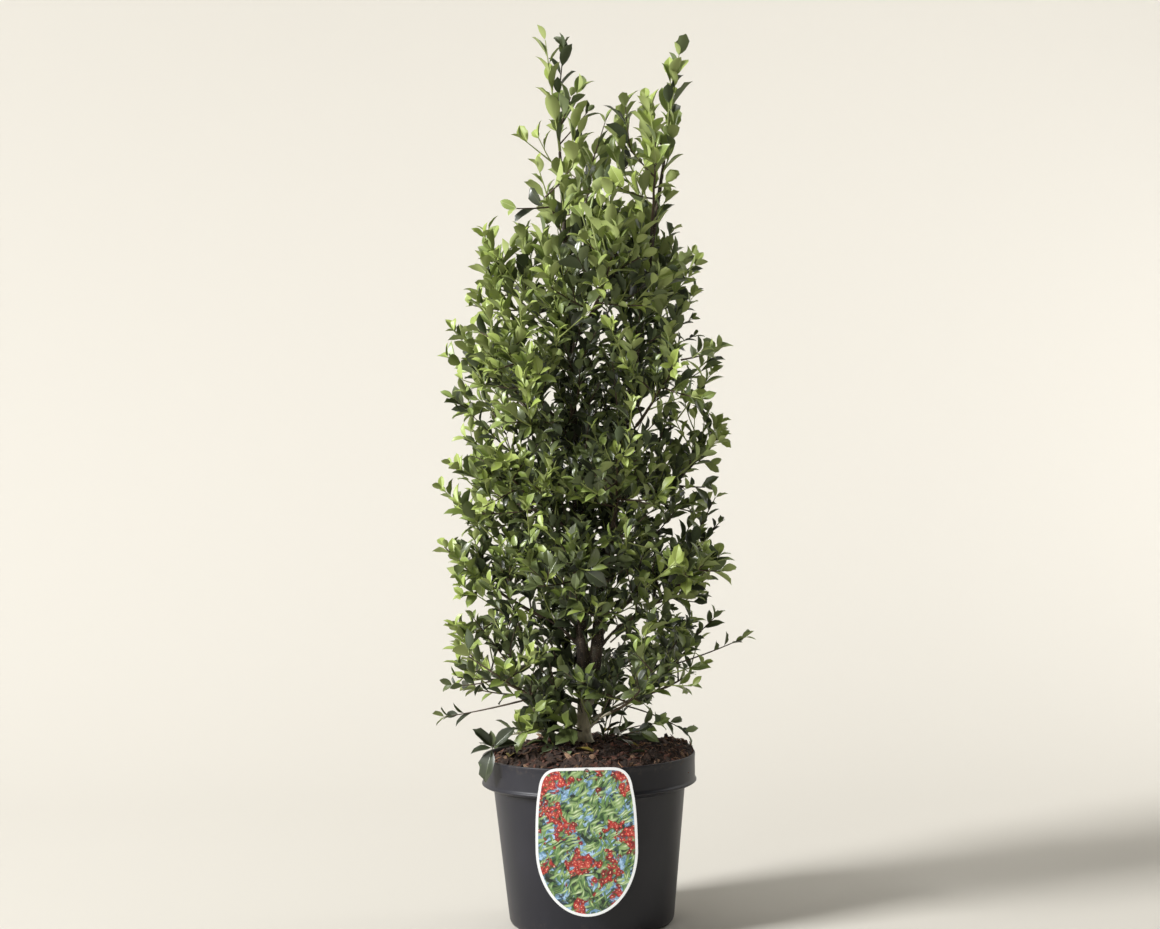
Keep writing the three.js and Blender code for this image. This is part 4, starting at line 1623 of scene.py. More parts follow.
    def grow_spurs(self, seed: int) -> None:
        """Grows sprigs straight from the boughs and from the stems inside the crown.

        Args:
            seed: the seed of their places.
        """
        self.fine = fine = SeededRandom(seed)
        self.is_free = False
        near, far, on_stem = *self.habit.spur_step, self.habit.stem_spur_step
        limbs = [(mass.limb, 0.3, 0.92, near) for mass in self.plan.boughs() if not mass.falls]
        limbs.append((self.plan.trunk, 0.2, 0.99, on_stem))
        limbs.append((self.plan.leader, 0.16, 0.99, on_stem))
        for limb, low, high, spacing in limbs:
            along = low * limb.length
            while along < high * limb.length:
                share = along / limb.length
                root = limb.at(share)
                self.tier = self.nearest_tier(root)
                turn = fine() * ANY_TURN
                heading = branch_direction(limb.heading(share), turn, fine.between(0.7, 1.1))
                heading.z += 0.25
                self.add_sprig(root, heading.normalized(), fine.between(34, 96))
                along += mix(spacing, far, smooth(root.z, 850, 1010)) * fine.between(0.7, 1.3)

    def grow_base(self, seed: int) -> None:
        """Grows leafy shoots round the trunk's foot, from its lowest part and the ground.

        Args:
            seed: the seed of their places.
        """
        self.fine = fine = SeededRandom(seed)
        self.tier, self.is_free = "skirt", False
        for i in range(34):
            out = level_direction(i * GOLDEN_TURN + 0.5)
            scale = 1.5 if out.x < 0.2 and out.y < 0.3 else 1.15
            if i % 4 == 3:
                root = self.plan.trunk.at(0) + out * fine.between(22, 52) - UP * 4
                heading = out * fine.between(0.3, 0.7) + UP
                length = fine.between(60, 105)
            else:
                root = self.plan.trunk.at_height(fine.between(247, 400))
                heading = out + UP * fine.between(0.25, 0.8)
                length = fine.between(44, 100)
            self.add_sprig(root, heading.normalized(), length, True, scale)

    def grow_strays(self, seed: int) -> None:
        """Grows the lone shoots that stand out from the crown.

        Args:
            seed: the seed of their leaves.
        """
        self.fine, self.is_free = SeededRandom(seed), True
        knots = [point for twigs in self.twigs.values() for twig in twigs for point in twig.points]
        places = np.array([tuple(knot) for knot in knots])
        for stray in STRAYS:
            root = knots[int(((places - np.array(stray.start)) ** 2).sum(1).argmin())]
            end = Vector(stray[:3])
            path = Path.arch(root, root.lerp(end, 0.55) - UP * stray.sag, end)
            self.tier = self.nearest_tier(root)
            points = path.evenly(8)
            self.add_twig(points, stray.girth, 0.55, stray.tint <= F)
            self.add_leaves(points, stray.bare * path.length, stray.tint, stray.leaf)

    def grow_droop(self, mass: Mass) -> None:
        """Grows the rosette of large dark leaves that hangs over the rim.

        Args:
            mass: the mass that the rosette stands for.
        """
        self.tier, fine = mass.tier, SeededRandom(71)
        knot, kept = mass.limb.at(1), self.leaves[mass.tier]
        end = knot + Vector((-7, -6, -12))
        self.add_twig([knot, knot + Vector((-5, -3, -4)), end], 1.5, 1.1, False)
        for heading, facing, *rest in DROOP_LEAVES:
            ahead = Vector(heading).normalized()
            kept.append(Leaf(end, ahead, square_to(Vector(facing), ahead), *rest))
        for i in range(9):
            share = 0.16 + 0.08 * i
            ahead = branch_direction(mass.limb.heading(share), i * GOLDEN_TURN, 0.8)
            ahead.z = abs(ahead.z) + 0.12
            ahead.normalize()
            rest = fine.between(28, 44), i % len(LEAF_FORMS), M if i % 3 else D
            kept.append(Leaf(mass.limb.at(share), ahead, square_to(UP, ahead), *rest))

    def grow(self, seed: int = 101) -> None:
        """Grows the whole plant.

        Args:
            seed: the seed of the first mass.
        """
        for i, mass in enumerate(self.plan.masses):
            if mass.falls:
                self.grow_droop(mass)
            else:
                self.grow_mass(mass, seed + i * 17)
        for work, more in ((self.grow_spurs, 900), (self.grow_base, 950), (self.grow_strays, 990)):
            work(seed + more)


# ---- Limbs, pot and compost ----


@dataclass(frozen=True)
class BarkFinish:
    """Smooth grey-brown bark with darker streaks, corky specks, a green cast and a pale foot,
    partly pale bark and partly painted light.
    """

    # The pale of the specks and the foot, made lighter than the bark alone as painted light on the
    # foot, which the foliage shades
    pale: Colour = rgb(232, 222, 196)
    brown: Colour = rgb(80, 66, 52)
    dark: Colour = rgb(44, 37, 31)
    moss: Colour = rgb(84, 84, 60)

    def make(self) -> bpy.types.Material:
        """The bark's material."""
        paint = Paint("holly_bark", Roughness=0.8)
        streak = paint.noise(paint.place((1, 1, 0.22)), 420, 5, 0.6)
        patch = paint.noise(paint.place(), 34)
        values = {"Vector": paint.place((1, 1, 1.8)), "Scale": 330}
        speck = paint.wire("ShaderNodeTexVoronoi", values)
        low = 1 - paint.parts(paint.place())[2].step(0.24, 0.33)
        colour = paint.blend(streak.step(0.35, 0.68), self.dark, self.brown)
        colour = paint.blend(patch.step(0.5, 0.7) * 0.45, colour, self.moss)
        # Paler at the foot: partly its pale bark, partly painted light on the foot, which the
        # foliage shades.
        colour = paint.blend(low * (streak.step(0.2, 0.55) * 0.5 + 0.5), colour, self.pale)
        colour = paint.blend((speck < 0.17) * 0.55, colour, self.pale)
        bumps = streak * 0.7 + (1 - speck.step(0.0, 0.3)) * 0.5
        return paint.finish(Base_Color=colour, Normal=paint.bump(bumps, 0.0006, 0.8))


@dataclass(frozen=True)
class TwigFinish:
    """One plain colour, a little waxy, for twigs, fibres and wire."""

    name: str
    colour: Colour
    roughness: float

    def make(self) -> bpy.types.Material:
        """The twigs' material."""
        shine = {"Roughness": self.roughness, "Coat_Weight": 0.05}
        return Paint(self.name, Base_Color=self.colour, **shine).material


@dataclass
class Limbs:
    """Trunk, right-hand leader and boughs, grown together at their forks."""

    plan: Plan
    foot: float = 11
    butt: float = 9.6
    fork: float = 8.2
    tip: float = 2.4
    flare_height: float = 8
    leader_root: float = 9.2
    bough_taper: float = 0.6
    bough_girth: float = 0.8
    voxel: float = 1.45
    relief: float = 0.28
    stem_rings: int = 60
    bough_rings: int = 16

    def trunk_radius(self, share: float) -> float:
        """The trunk's radius a share of the way up.

        Args:
            share: how far up, from 0 to 1.

        Returns:
            The radius.
        """
        length = self.plan.trunk.length
        to_fork = (self.plan.fork_height - self.plan.foot_height) / length
        flare = (self.foot - self.butt) * math.exp(-share * length / self.flare_height)
        if share < to_fork:
            return flare + mix(self.butt, self.fork, (share / to_fork) ** 2)
        return flare + mix(self.fork, self.tip, (share - to_fork) / (1 - to_fork))

    def lines(self) -> Iterable[tuple[list[Vector], list[float], int]]:
        """Every limb's rings, radii and sides, with the knots and buttresses of the foot."""
        trunk, leader = self.plan.trunk, self.plan.leader
        count = self.stem_rings
        shares = [i / count for i in range(count + 1)]
        yield trunk.evenly(count), [self.trunk_radius(s) for s in shares], 20
        yield leader.evenly(count), [mix(self.leader_root, self.tip, s) for s in shares], 18
        count = self.bough_rings
        shares = [i / count for i in range(count + 1)]
        for mass in self.plan.boughs():
            girth = mass.bough_radius * self.bough_girth * (0.75 if mass.falls else 1)
            widths = [mix(1, self.bough_taper, s) + 0.35 * math.exp(-s * 9) for s in shares]
            radii = [max(girth * width, self.voxel * 1.3) for width in widths]
            yield mass.limb.evenly(count), radii, 12
        foot = trunk.at(0)
        for i, turn in enumerate((0.4, 1.5, 2.7, 3.9, 5.3)):
            out, reach = level_direction(turn), 13 + 3 * math.sin(i * 2.3)
            points = [foot + out * x + UP * z for x, z in ((4, 12), (7, 4), (reach, -3))]
            yield points, [4.2, 3.8, 2.0], 10
        knots = (((-4, -3, 9), 10.5), ((3, -2, 4), 9.5), ((-3, 2, 30), 8.4), ((4, 2, 52), 8.8))
        for place, size in knots:
            middle = foot + Vector(place)
            points = [middle + UP * size * c for c in (-0.95, -0.6, 0.0, 0.6, 0.95)]
            yield points, [size * c for c in (0.3, 0.8, 1.0, 0.8, 0.3)], 14
        for share, turn in ((0.06, 0.7), (0.13, 4.4), (0.21, 2.2), (0.34, 5.6)):
            out = (level_direction(turn) + UP * 0.5).normalized() * (self.trunk_radius(share) + 5)
            yield [trunk.at(share), trunk.at(share) + out], [2.6, 2.0], 10

    def roughen(self, mesh: bpy.types.Mesh) -> None:
        """Moves the skin in and out into fine upright ridges and soft swellings.

        Args:
            mesh: the skin.
        """
        co, normals = np.zeros((2, len(mesh.vertices) * 3))
        mesh.vertices.foreach_get("co", co)
        mesh.vertices.foreach_get("normal", normals)
        places = co.reshape(-1, 3)
        depth = np.array([
            noise.noise(Vector((x * 420, y * 420, z * 80)))
            + 0.8 * noise.noise(Vector((x, y, z * 0.7)) * 130)
            for x, y, z in places
        ])
        depth *= 1 + 1.2 * np.clip((0.33 - places[:, 2]) / 0.09, 0, 1)
        mesh.vertices.foreach_set("co", co + normals * np.repeat(depth * self.relief * MM, 3))
        mesh.update()

    def build(self) -> bpy.types.Object:
        """The limbs as one closed skin."""
        corners: list[Vector] = []
        faces: list[Face] = []
        for line in self.lines():
            first = len(corners)
            more, rings = tube(*line)
            corners += more
            faces += [tuple(first + corner for corner in ring) for ring in rings]
        piece = new_object("trunk_and_boughs", new_mesh("limbs", corners, faces))
        remesh = piece.modifiers.new("skin", "REMESH")
        remesh.mode, remesh.voxel_size, remesh.use_smooth_shade = "VOXEL", self.voxel * MM, True
        soften = piece.modifiers.new("soften", "SMOOTH")
        soften.factor, soften.iterations = 0.5, 5
        settle(piece)
        self.roughen(piece.data)
        piece.data.materials.append(BarkFinish().make())
        boughs = [f"bough_{mass.name}" for mass in self.plan.boughs()]
        return fit(piece, "bark", "trunk", "right_leader", *boughs)


@dataclass(frozen=True)
class PotFinish:
    """Moulded black polypropylene: satin, faintly grained, dusty below the rim."""

    black: Colour = rgb(26, 26, 33)
    worn: Colour = rgb(39, 39, 47)
    dust: Colour = rgb(96, 84, 72)

    def make(self) -> bpy.types.Material:
        """The pot's material."""
        paint = Paint("pot_polypropylene", Specular_IOR_Level=0.42)
        where = paint.place()
        cloud = paint.noise(paint.place((1, 1, 0.5)), 14, 4, 0.55)
        grain = paint.noise(where, 900, 3, 0.6)
        flow = paint.noise(paint.place((1, 1, 0.05)), 60)
        height = paint.parts(where)[2]
        soiled = height.step(0.206, 0.222) * paint.noise(where, 130, 4, 0.65).step(0.5, 0.7)
        foot = (1 - height.step(0.0, 0.03)) * paint.noise(where, 90, 4, 0.6).step(0.5, 0.72)
        colour = paint.blend(cloud.step(0.35, 0.75) * 0.6, self.black, self.worn)
        colour = paint.blend(soiled * 0.4 + foot * 0.25, colour, self.dust)
        rough = 0.36 + cloud * 0.1 + flow * 0.05 + soiled * 0.2
        bumps = paint.bump(grain * 0.35 + flow * 0.65, 0.00012, 0.5)
        return paint.finish(Base_Color=colour, Roughness=rough, Normal=bumps)


@dataclass
class Pot:
    """The round nursery pot with its deep rim, foot slots and drain holes."""

    height: float = 222
    wall: float = 3
    floor: float = 4
    foot_radius: float = 98
    foot_height: float = 9
    low_radius: float = 109
    top_radius: float = 126
    body_top: float = 179
    rim_radius: float = 140
    rim_low: float = 186
    rim_flare: float = 1.5
    segments: int = 144
    crease: float = 32
    slots: int = 6
    slot_size: Point = (16, 18, 6)
    slot_out: float = 5
    drains: int = 6
    drain_ring: float = 66
    bore: float = 6
    bore_depth: float = 30
    bore_sides: int = 24

    def profile(self) -> list[tuple[float, float]]:
        """The wall's outline from the axis below, round the rim and back to the axis inside."""
        foot, low, top, rim = self.foot_radius, self.low_radius, self.top_radius, self.rim_radius
        body, lip, wall, flared = self.body_top, self.rim_low, self.wall, rim + self.rim_flare
        corners = [  # radius, height and rounding
            (0, 0, 0), (foot - 6, 0, 0), (foot, 0, 1.5), (low - 3.4, 1.4, 3),
            (low - 0.6, self.foot_height - 3, 3), (low + 0.2, self.foot_height + 4, 6),
            (top - 0.4, body - 6, 5), (top + 0.4, body, 1.5), (rim - 1.2, lip - 2.4, 1.2),
            (flared, lip - 0.6, 0.7), (flared, lip + 1.2, 0.7), (rim - 0.3, lip + 3.6, 1.5),
            (rim - 0.1, self.height - 7, 4), (rim + 0.4, self.height - 3, 1.2),
            (rim + 0.4, self.height, 1.1), (rim - wall, self.height, 1.1),
            (rim - wall, lip + 1, 2), (top - wall, body + 1, 2),
            (low - wall, self.foot_height, 4), (foot, self.floor, 0), (0, self.floor, 0),
        ]
        path: list[tuple[float, float]] = []
        for i, (r, z, rounding) in enumerate(corners):
            if rounding == 0:
                path.append((r, z))
                continue
            here, ends = Vector((r, z)), []
            for other in (corners[i - 1], corners[i + 1]):
                away = Vector(other[:2]) - here
                ends.append(here + away.normalized() * min(rounding, away.length * 0.45))
            path += [tuple(arc(ends[0], here, ends[1], k / 4)) for k in range(5)]
        return path

    def shell(self) -> bpy.types.Mesh:
        """The turned wall and floor."""
        corners: list[Point] = []
        rings: list[range] = []
        for r, z in self.profile():
            first = len(corners)
            corners += [(x, y, z) for x, y in circle(self.segments if r else 1, r)]
            rings.append(range(first, len(corners)))
        return new_mesh("pot", corners, ring_faces(rings))

    def cutting_tree(self) -> GeometryTree:
        """The tree that cuts the slots of the foot and the drain holes."""
        tree = GeometryTree("pot_cutting", Slots="Int", Slot_ring="Float", Drains="Int",
                            Drain_ring="Float", Bore="Float")
        spot = tree.wire("GeometryNodeInputPosition")
        outward = tree.wire("FunctionNodeAlignRotationToVector", {"Vector": spot}, axis="X")
        size = tuple(c * MM for c in self.slot_size)
        slot = tree.wire("GeometryNodeMeshCube", {"Size": size})
        values = {"Vertices": self.bore_sides, "Radius": tree.given("Bore")}
        values["Depth"] = self.bore_depth * MM
        drain = tree.wire("GeometryNodeMeshCylinder", values)
        shell = tree.given()
        for cutter, name, turn in ((slot, "Slot", math.pi / self.slots), (drain, "Drain", 0.0)):
            values = {"Vertices": tree.given(f"{name}s"), "Radius": tree.given(f"{name}_ring")}
            ring = tree.wire("GeometryNodeMeshCircle", values)
            values = {"Geometry": ring, "Rotation": (0.0, 0.0, turn)}
            ring = tree.wire("GeometryNodeTransform", values)
            values = {"Mesh 1": shell, "Mesh 2": tree.set_on(ring, cutter, outward)}
            shell = tree.wire("GeometryNodeMeshBoolean", values, operation="DIFFERENCE")
        tree.close(shell)
        return tree

    def build(self) -> bpy.types.Object:
        """The pot as one piece."""
        piece = self.cutting_tree().run(
            new_object("nursery_pot", self.shell()),
            Slots=self.slots, Slot_ring=(self.foot_radius + self.slot_out) * MM,
            Drains=self.drains, Drain_ring=self.drain_ring * MM, Bore=self.bore * MM,
        )
        piece.data.materials.clear()
        piece.data.materials.append(PotFinish().make())
        piece.data.polygons.foreach_set("material_index", [0] * len(piece.data.polygons))
        piece.data.shade_smooth()
        piece.data.set_sharp_from_angle(angle=math.radians(self.crease))
        return fit(piece, "pot_plastic", "pot")


class Strewing(NamedTuple):
    """One kind of loose bits on the compost."""

    name: str
    sizes: Sequence[Point]
    first_seed: int
    tones: Sequence[int]
    density: float
    seed: int
    largest: float
    lift: float


STREWINGS = (
    Strewing("bark_chips", ((15, 6, 2.6), (11, 5, 2.2), (19, 5, 2.4), (9, 7, 3), (13, 4, 3)),
             5, (0, 1, 2, 3), 7600.0, 3, 1.45, 0.6),
    Strewing("compost_crumbs", ((5, 4, 3.4), (3.6, 3, 2.6), (6, 3.6, 2.8)),
             31, (0, 0, 1, 2), 20000.0, 8, 1.6, 0.3),
)


@dataclass(frozen=True)
class CompostFinish:
    """Moist barky compost: dark crumbs with a red-brown cast and pale grit."""

    dark: Colour = rgb(34, 26, 22)
    brown: Colour = rgb(72, 55, 45)
    red: Colour = rgb(84, 58, 47)
    grit: Colour = rgb(150, 128, 106)

    def make(self) -> bpy.types.Material:
        """The compost's material."""
        paint = Paint("barky_compost", Roughness=0.95)
        where = paint.place()
        crumb = paint.wire("ShaderNodeTexVoronoi", {"Vector": where, "Scale": 240})
        cloud = paint.noise(where, 60, 4, 0.6)
        fine = paint.noise(where, 520, 4, 0.65)
        colour = paint.blend(fine.step(0.3, 0.72), self.dark, self.brown)
        colour = paint.blend(cloud.step(0.48, 0.7) * 0.7, colour, self.red)
        colour = paint.blend((fine > 0.735) * 0.8, colour, self.grit)
        bumps = paint.bump(fine * 0.6 + crumb * 0.8, 0.0016, 0.9)
        return paint.finish(Base_Color=colour, Normal=bumps)


@dataclass(frozen=True)
class ChipFinish:
    """One colour of bark chip, mottled along its fibres."""

    name: str
    colour: Colour
    shade: Colour

    def make(self) -> bpy.types.Material:
        """The chips' material."""
        paint = Paint(f"bark_chip_{self.name}", Roughness=0.85)
        grain = paint.noise(paint.place(), 700, 3, 0.6)
        mottled = paint.blend(grain.step(0.35, 0.68), self.shade, self.colour)
        return paint.finish(Base_Color=mottled, Normal=paint.bump(grain, 0.0005, 0.8))


CHIPS = (
    ChipFinish("dark", rgb(52, 38, 31), rgb(28, 21, 18)),
    ChipFinish("brown", rgb(84, 60, 47), rgb(46, 33, 26)),
    ChipFinish("red", rgb(112, 70, 53), rgb(66, 43, 36)),
    ChipFinish("tan", rgb(152, 122, 96), rgb(98, 74, 57)),
)


@dataclass
class Compost:
    """The compost's crumbly top in the pot, with bark chips, crumbs and root fibres on it."""

    radius: float = 136.4
    edge: float = 213
    top: float = 236
    heap: float = 6
    low: float = 188
    rings: int = 66
    spokes: int = 220
    smallest: float = 0.5
    fibre_count: int = 120
    fibre_seed: int = 77

    def height(self, x: float, y: float) -> float:
        """The height of the top, the solids' mound with clods and crumbs on it.

        Args:
            x: how far to the right.
            y: how far back.

        Returns:
            The height.
        """
        out = math.hypot(x, y) / 137
        edge = self.edge + self.heap * x / 140
        swell = edge + (self.top - edge) * (1 - out**4)
        lump = math.sin(x * 0.11 + 2) * math.cos(y * 0.13) + 0.6 * math.sin(x * 0.23 - y * 0.19)
        calm = smooth(math.hypot(x + 6, y), 16, 52)
        height = mix(self.top, swell + lump * 2.6 * (1 - out**6), calm)
        heaped = 7 * smooth(x, 60, 125) * smooth(y, -70, 10) * smooth(out, 0.6, 0.95)
        grains = ((3.6 * (0.3 + 0.7 * calm), 21, 4), (2.3, 7.5, 9), (1.0, 3.1, 2))
        return height + heaped + sum(
            size * noise.noise(Vector((x / wide, y / wide, level))) for size, wide, level in grains
        )

    def surface(self) -> bpy.types.Mesh:
        """The top with a skirt down inside the wall, closed underneath."""
        corners: list[Point] = [(0.0, 0.0, self.height(0, 0))]
        for ring in range(1, self.rings + 1):
            places = circle(self.spokes, self.radius * ring / self.rings)
            corners += [(x, y, self.height(x, y)) for x, y in places]
        corners += [(x, y, self.low) for x, y in circle(self.spokes, self.radius - 1.5)]
        starts = range(1, len(corners), self.spokes)
        rings = [range(1), *(range(first, first + self.spokes) for first in starts)]
        faces = [*ring_faces(rings, is_turned=True), tuple(rings[-1])[::-1]]
        return new_mesh("compost", corners, faces)

    def body(self, size: Point, seed: int) -> bpy.types.Mesh:
        """One chip or crumb as a rough convex body of a few faces.

        Args:
            size: its length, width and thickness.
            seed: the seed of its corners.

        Returns:
            The body.
        """
        random = SeededRandom(seed)
        body = bmesh.new()
        for i in range(12):
            turn, level, reach = i * GOLDEN_TURN, random.between(-1, 1), random.between(0.75, 1.0)
            shape = (math.cos(turn), math.sin(turn), level)
            body.verts.new([a * b / 2 * reach * MM for a, b in zip(shape, size)])
        bmesh.ops.convex_hull(body, input=body.verts)
        loose = [corner for corner in body.verts if not corner.link_faces]
        bmesh.ops.delete(body, geom=loose, context="VERTS")
        bmesh.ops.recalc_face_normals(body, faces=body.faces)
        mesh = bpy.data.meshes.new("chip")
        body.to_mesh(mesh)
        body.free()
        return mesh

    def scattering_tree(self, paints: Sequence[bpy.types.Material]) -> GeometryTree:
        """The tree that strews forms over the top.

        Args:
            paints: the colours dealt out among them.

        Returns:
            The tree.
        """
        tree = GeometryTree("compost_scattering", Forms="Collection", Density="Float", Seed="Int",
                            Smallest="Float", Largest="Float", Lift="Float")
        seed = tree.given("Seed")

        def drawn(low: Wire | float, high: Wire | float, shift: int) -> Wire:
            """A random number for each point."""
            values = {2: low, 3: high, "Seed": seed + shift}
            return tree.wire("FunctionNodeRandomValue", values, 1, data_type="FLOAT")

        level = tree.parts(tree.wire("GeometryNodeInputNormal"))[2]
        values = {"Mesh": tree.given(), "Density": tree.given("Density"), "Seed": seed}
        spots, _, laid = tree.wires(
            "GeometryNodeDistributePointsOnFaces", {**values, "Selection": level > 0.3}
        )
        values = {"Min": (-0.5, -0.5, 0), "Max": (0.5, 0.5, 6.3), "Seed": seed}
        stray = tree.wire("FunctionNodeRandomValue", values, data_type="FLOAT_VECTOR")
        stray = tree.wire("FunctionNodeEulerToRotation", {0: stray})
        values = {"Rotation": laid, "Rotate By": stray}
        turn = tree.wire("FunctionNodeRotateRotation", values, rotation_space="LOCAL")
        size = drawn(tree.given("Smallest"), tree.given("Largest"), 3)
        values = {"Geometry": spots, "Name": "tone", "Value": drawn(0.0, float(len(paints)), 7)}
        spots = tree.wire("GeometryNodeStoreNamedAttribute", values, data_type="FLOAT",
                          domain="POINT")
        lift = tree.wire("ShaderNodeCombineXYZ", {2: tree.given("Lift")})
        spots = tree.wire("GeometryNodeSetPosition", {"Geometry": spots, "Offset": lift})
        strewn = tree.set_on(spots, tree.forms(), turn, Scale=size, Pick_Instance=True)
        tone = tree.named("tone")
        tree.close(strewn, [(tone > float(i) if i else True, p) for i, p in enumerate(paints)])
        return tree

    def fibres(self, count: int, seed: int) -> list[Twig]:
        """Fine roots and bark fibres that lie on the top and stand off it at their ends.

        Args:
            count: how many.
            seed: the seed of their places.

        Returns:
            Their lines.
        """
        random = SeededRandom(seed)
        made = []
        for _ in range(count):
            turn, out = random() * ANY_TURN, math.sqrt(random()) * 0.95 * self.radius
            if random() < 0.35:
                turn, out = random.between(-0.5, 0.7), random.between(0.78, 0.98) * self.radius
            x, y = out * math.cos(turn), out * math.sin(turn)
            heading, bend = random() * ANY_TURN, random.between(-0.3, 0.3)
            points = []
            steps = int(random.between(4, 9))
            for i in range(steps):
                if math.hypot(x, y) > self.radius + 1:
                    break
                lift = 0.6 + 3.5 * random() * (abs(i / steps - 0.4) ** 1.5)
                points.append(Vector((x, y, self.height(x, y) + lift)))
                heading += bend + random.between(-0.25, 0.25)
                x, y = x + 5 * math.cos(heading), y + 5 * math.sin(heading)
            if len(points) > 2:
                path = Path.through(points, 3).points
                thick = random.between(0.3, 0.75)
                radii = [thick * mix(1, 0.5, i / len(path)) for i in range(len(path))]
                made.append(Twig(path, radii, random() < 0.4))
        return made

    def build(self) -> list[bpy.types.Object]:
        """The compost, its chips and its fibres."""
        top = new_object("compost_surface", self.surface(), CompostFinish().make())
        pieces = [fit(top, "compost", "compost")]
        paints = [finish.make() for finish in CHIPS]
        for kind in STREWINGS:
            bodies = (self.body(size, kind.first_seed + i) for i, size in enumerate(kind.sizes))
            forms = Forms(kind.name, bodies)
            piece = self.scattering_tree([paints[tone] for tone in kind.tones]).run(
                new_object(kind.name, top.data.copy()), Forms=forms.collection,
                Density=kind.density, Seed=kind.seed, Smallest=self.smallest,
                Largest=kind.largest, Lift=kind.lift * MM,
            )
            pieces.append(fit(piece, "compost"))
            forms.clear()
        roots = TwigLathe((
            TwigFinish("root_fibre_brown", rgb(88, 58, 42), 0.8).make(),
            TwigFinish("root_fibre_tan", rgb(158, 118, 84), 0.8).make(),
        ), sides=4)
        fibres = self.fibres(self.fibre_count, self.fibre_seed)
        pieces.append(fit(roots.draw("root_fibres", fibres), "compost"))
        return pieces


# ---- Tag ----

# Leaves in the tag's picture: turn, scale, least tone that is shown, pale and dark green
FAR_LEAVES = (
    (1.1, 150, 0.4, rgb(120, 150, 92), rgb(30, 48, 36)),
    (-0.8, 190, 0.4, rgb(156, 186, 110), rgb(40, 68, 42)),
)
NEAR_LEAVES = (
    (2.2, 210, 0.52, rgb(178, 206, 130), rgb(60, 92, 52)),
    (0.3, 230, 0.55, rgb(200, 222, 150), rgb(82, 116, 66)),
    (-0.35, 250, 0.55, rgb(222, 234, 184), rgb(104, 140, 80)),
    (-1.15, 280, 0.6, rgb(240, 246, 216), rgb(150, 178, 116)),
)
# Its flowers: bright and deep red, scale, shift and least drift that shows them
FLOWERS = (
    (rgb(176, 48, 46), rgb(92, 22, 28), 112, 0.011, 0.5),
    (rgb(220, 72, 62), rgb(140, 34, 36), 134, 0.047, 0.52),
    (rgb(238, 116, 98), rgb(160, 44, 42), 150, 0.083, 0.57),
)


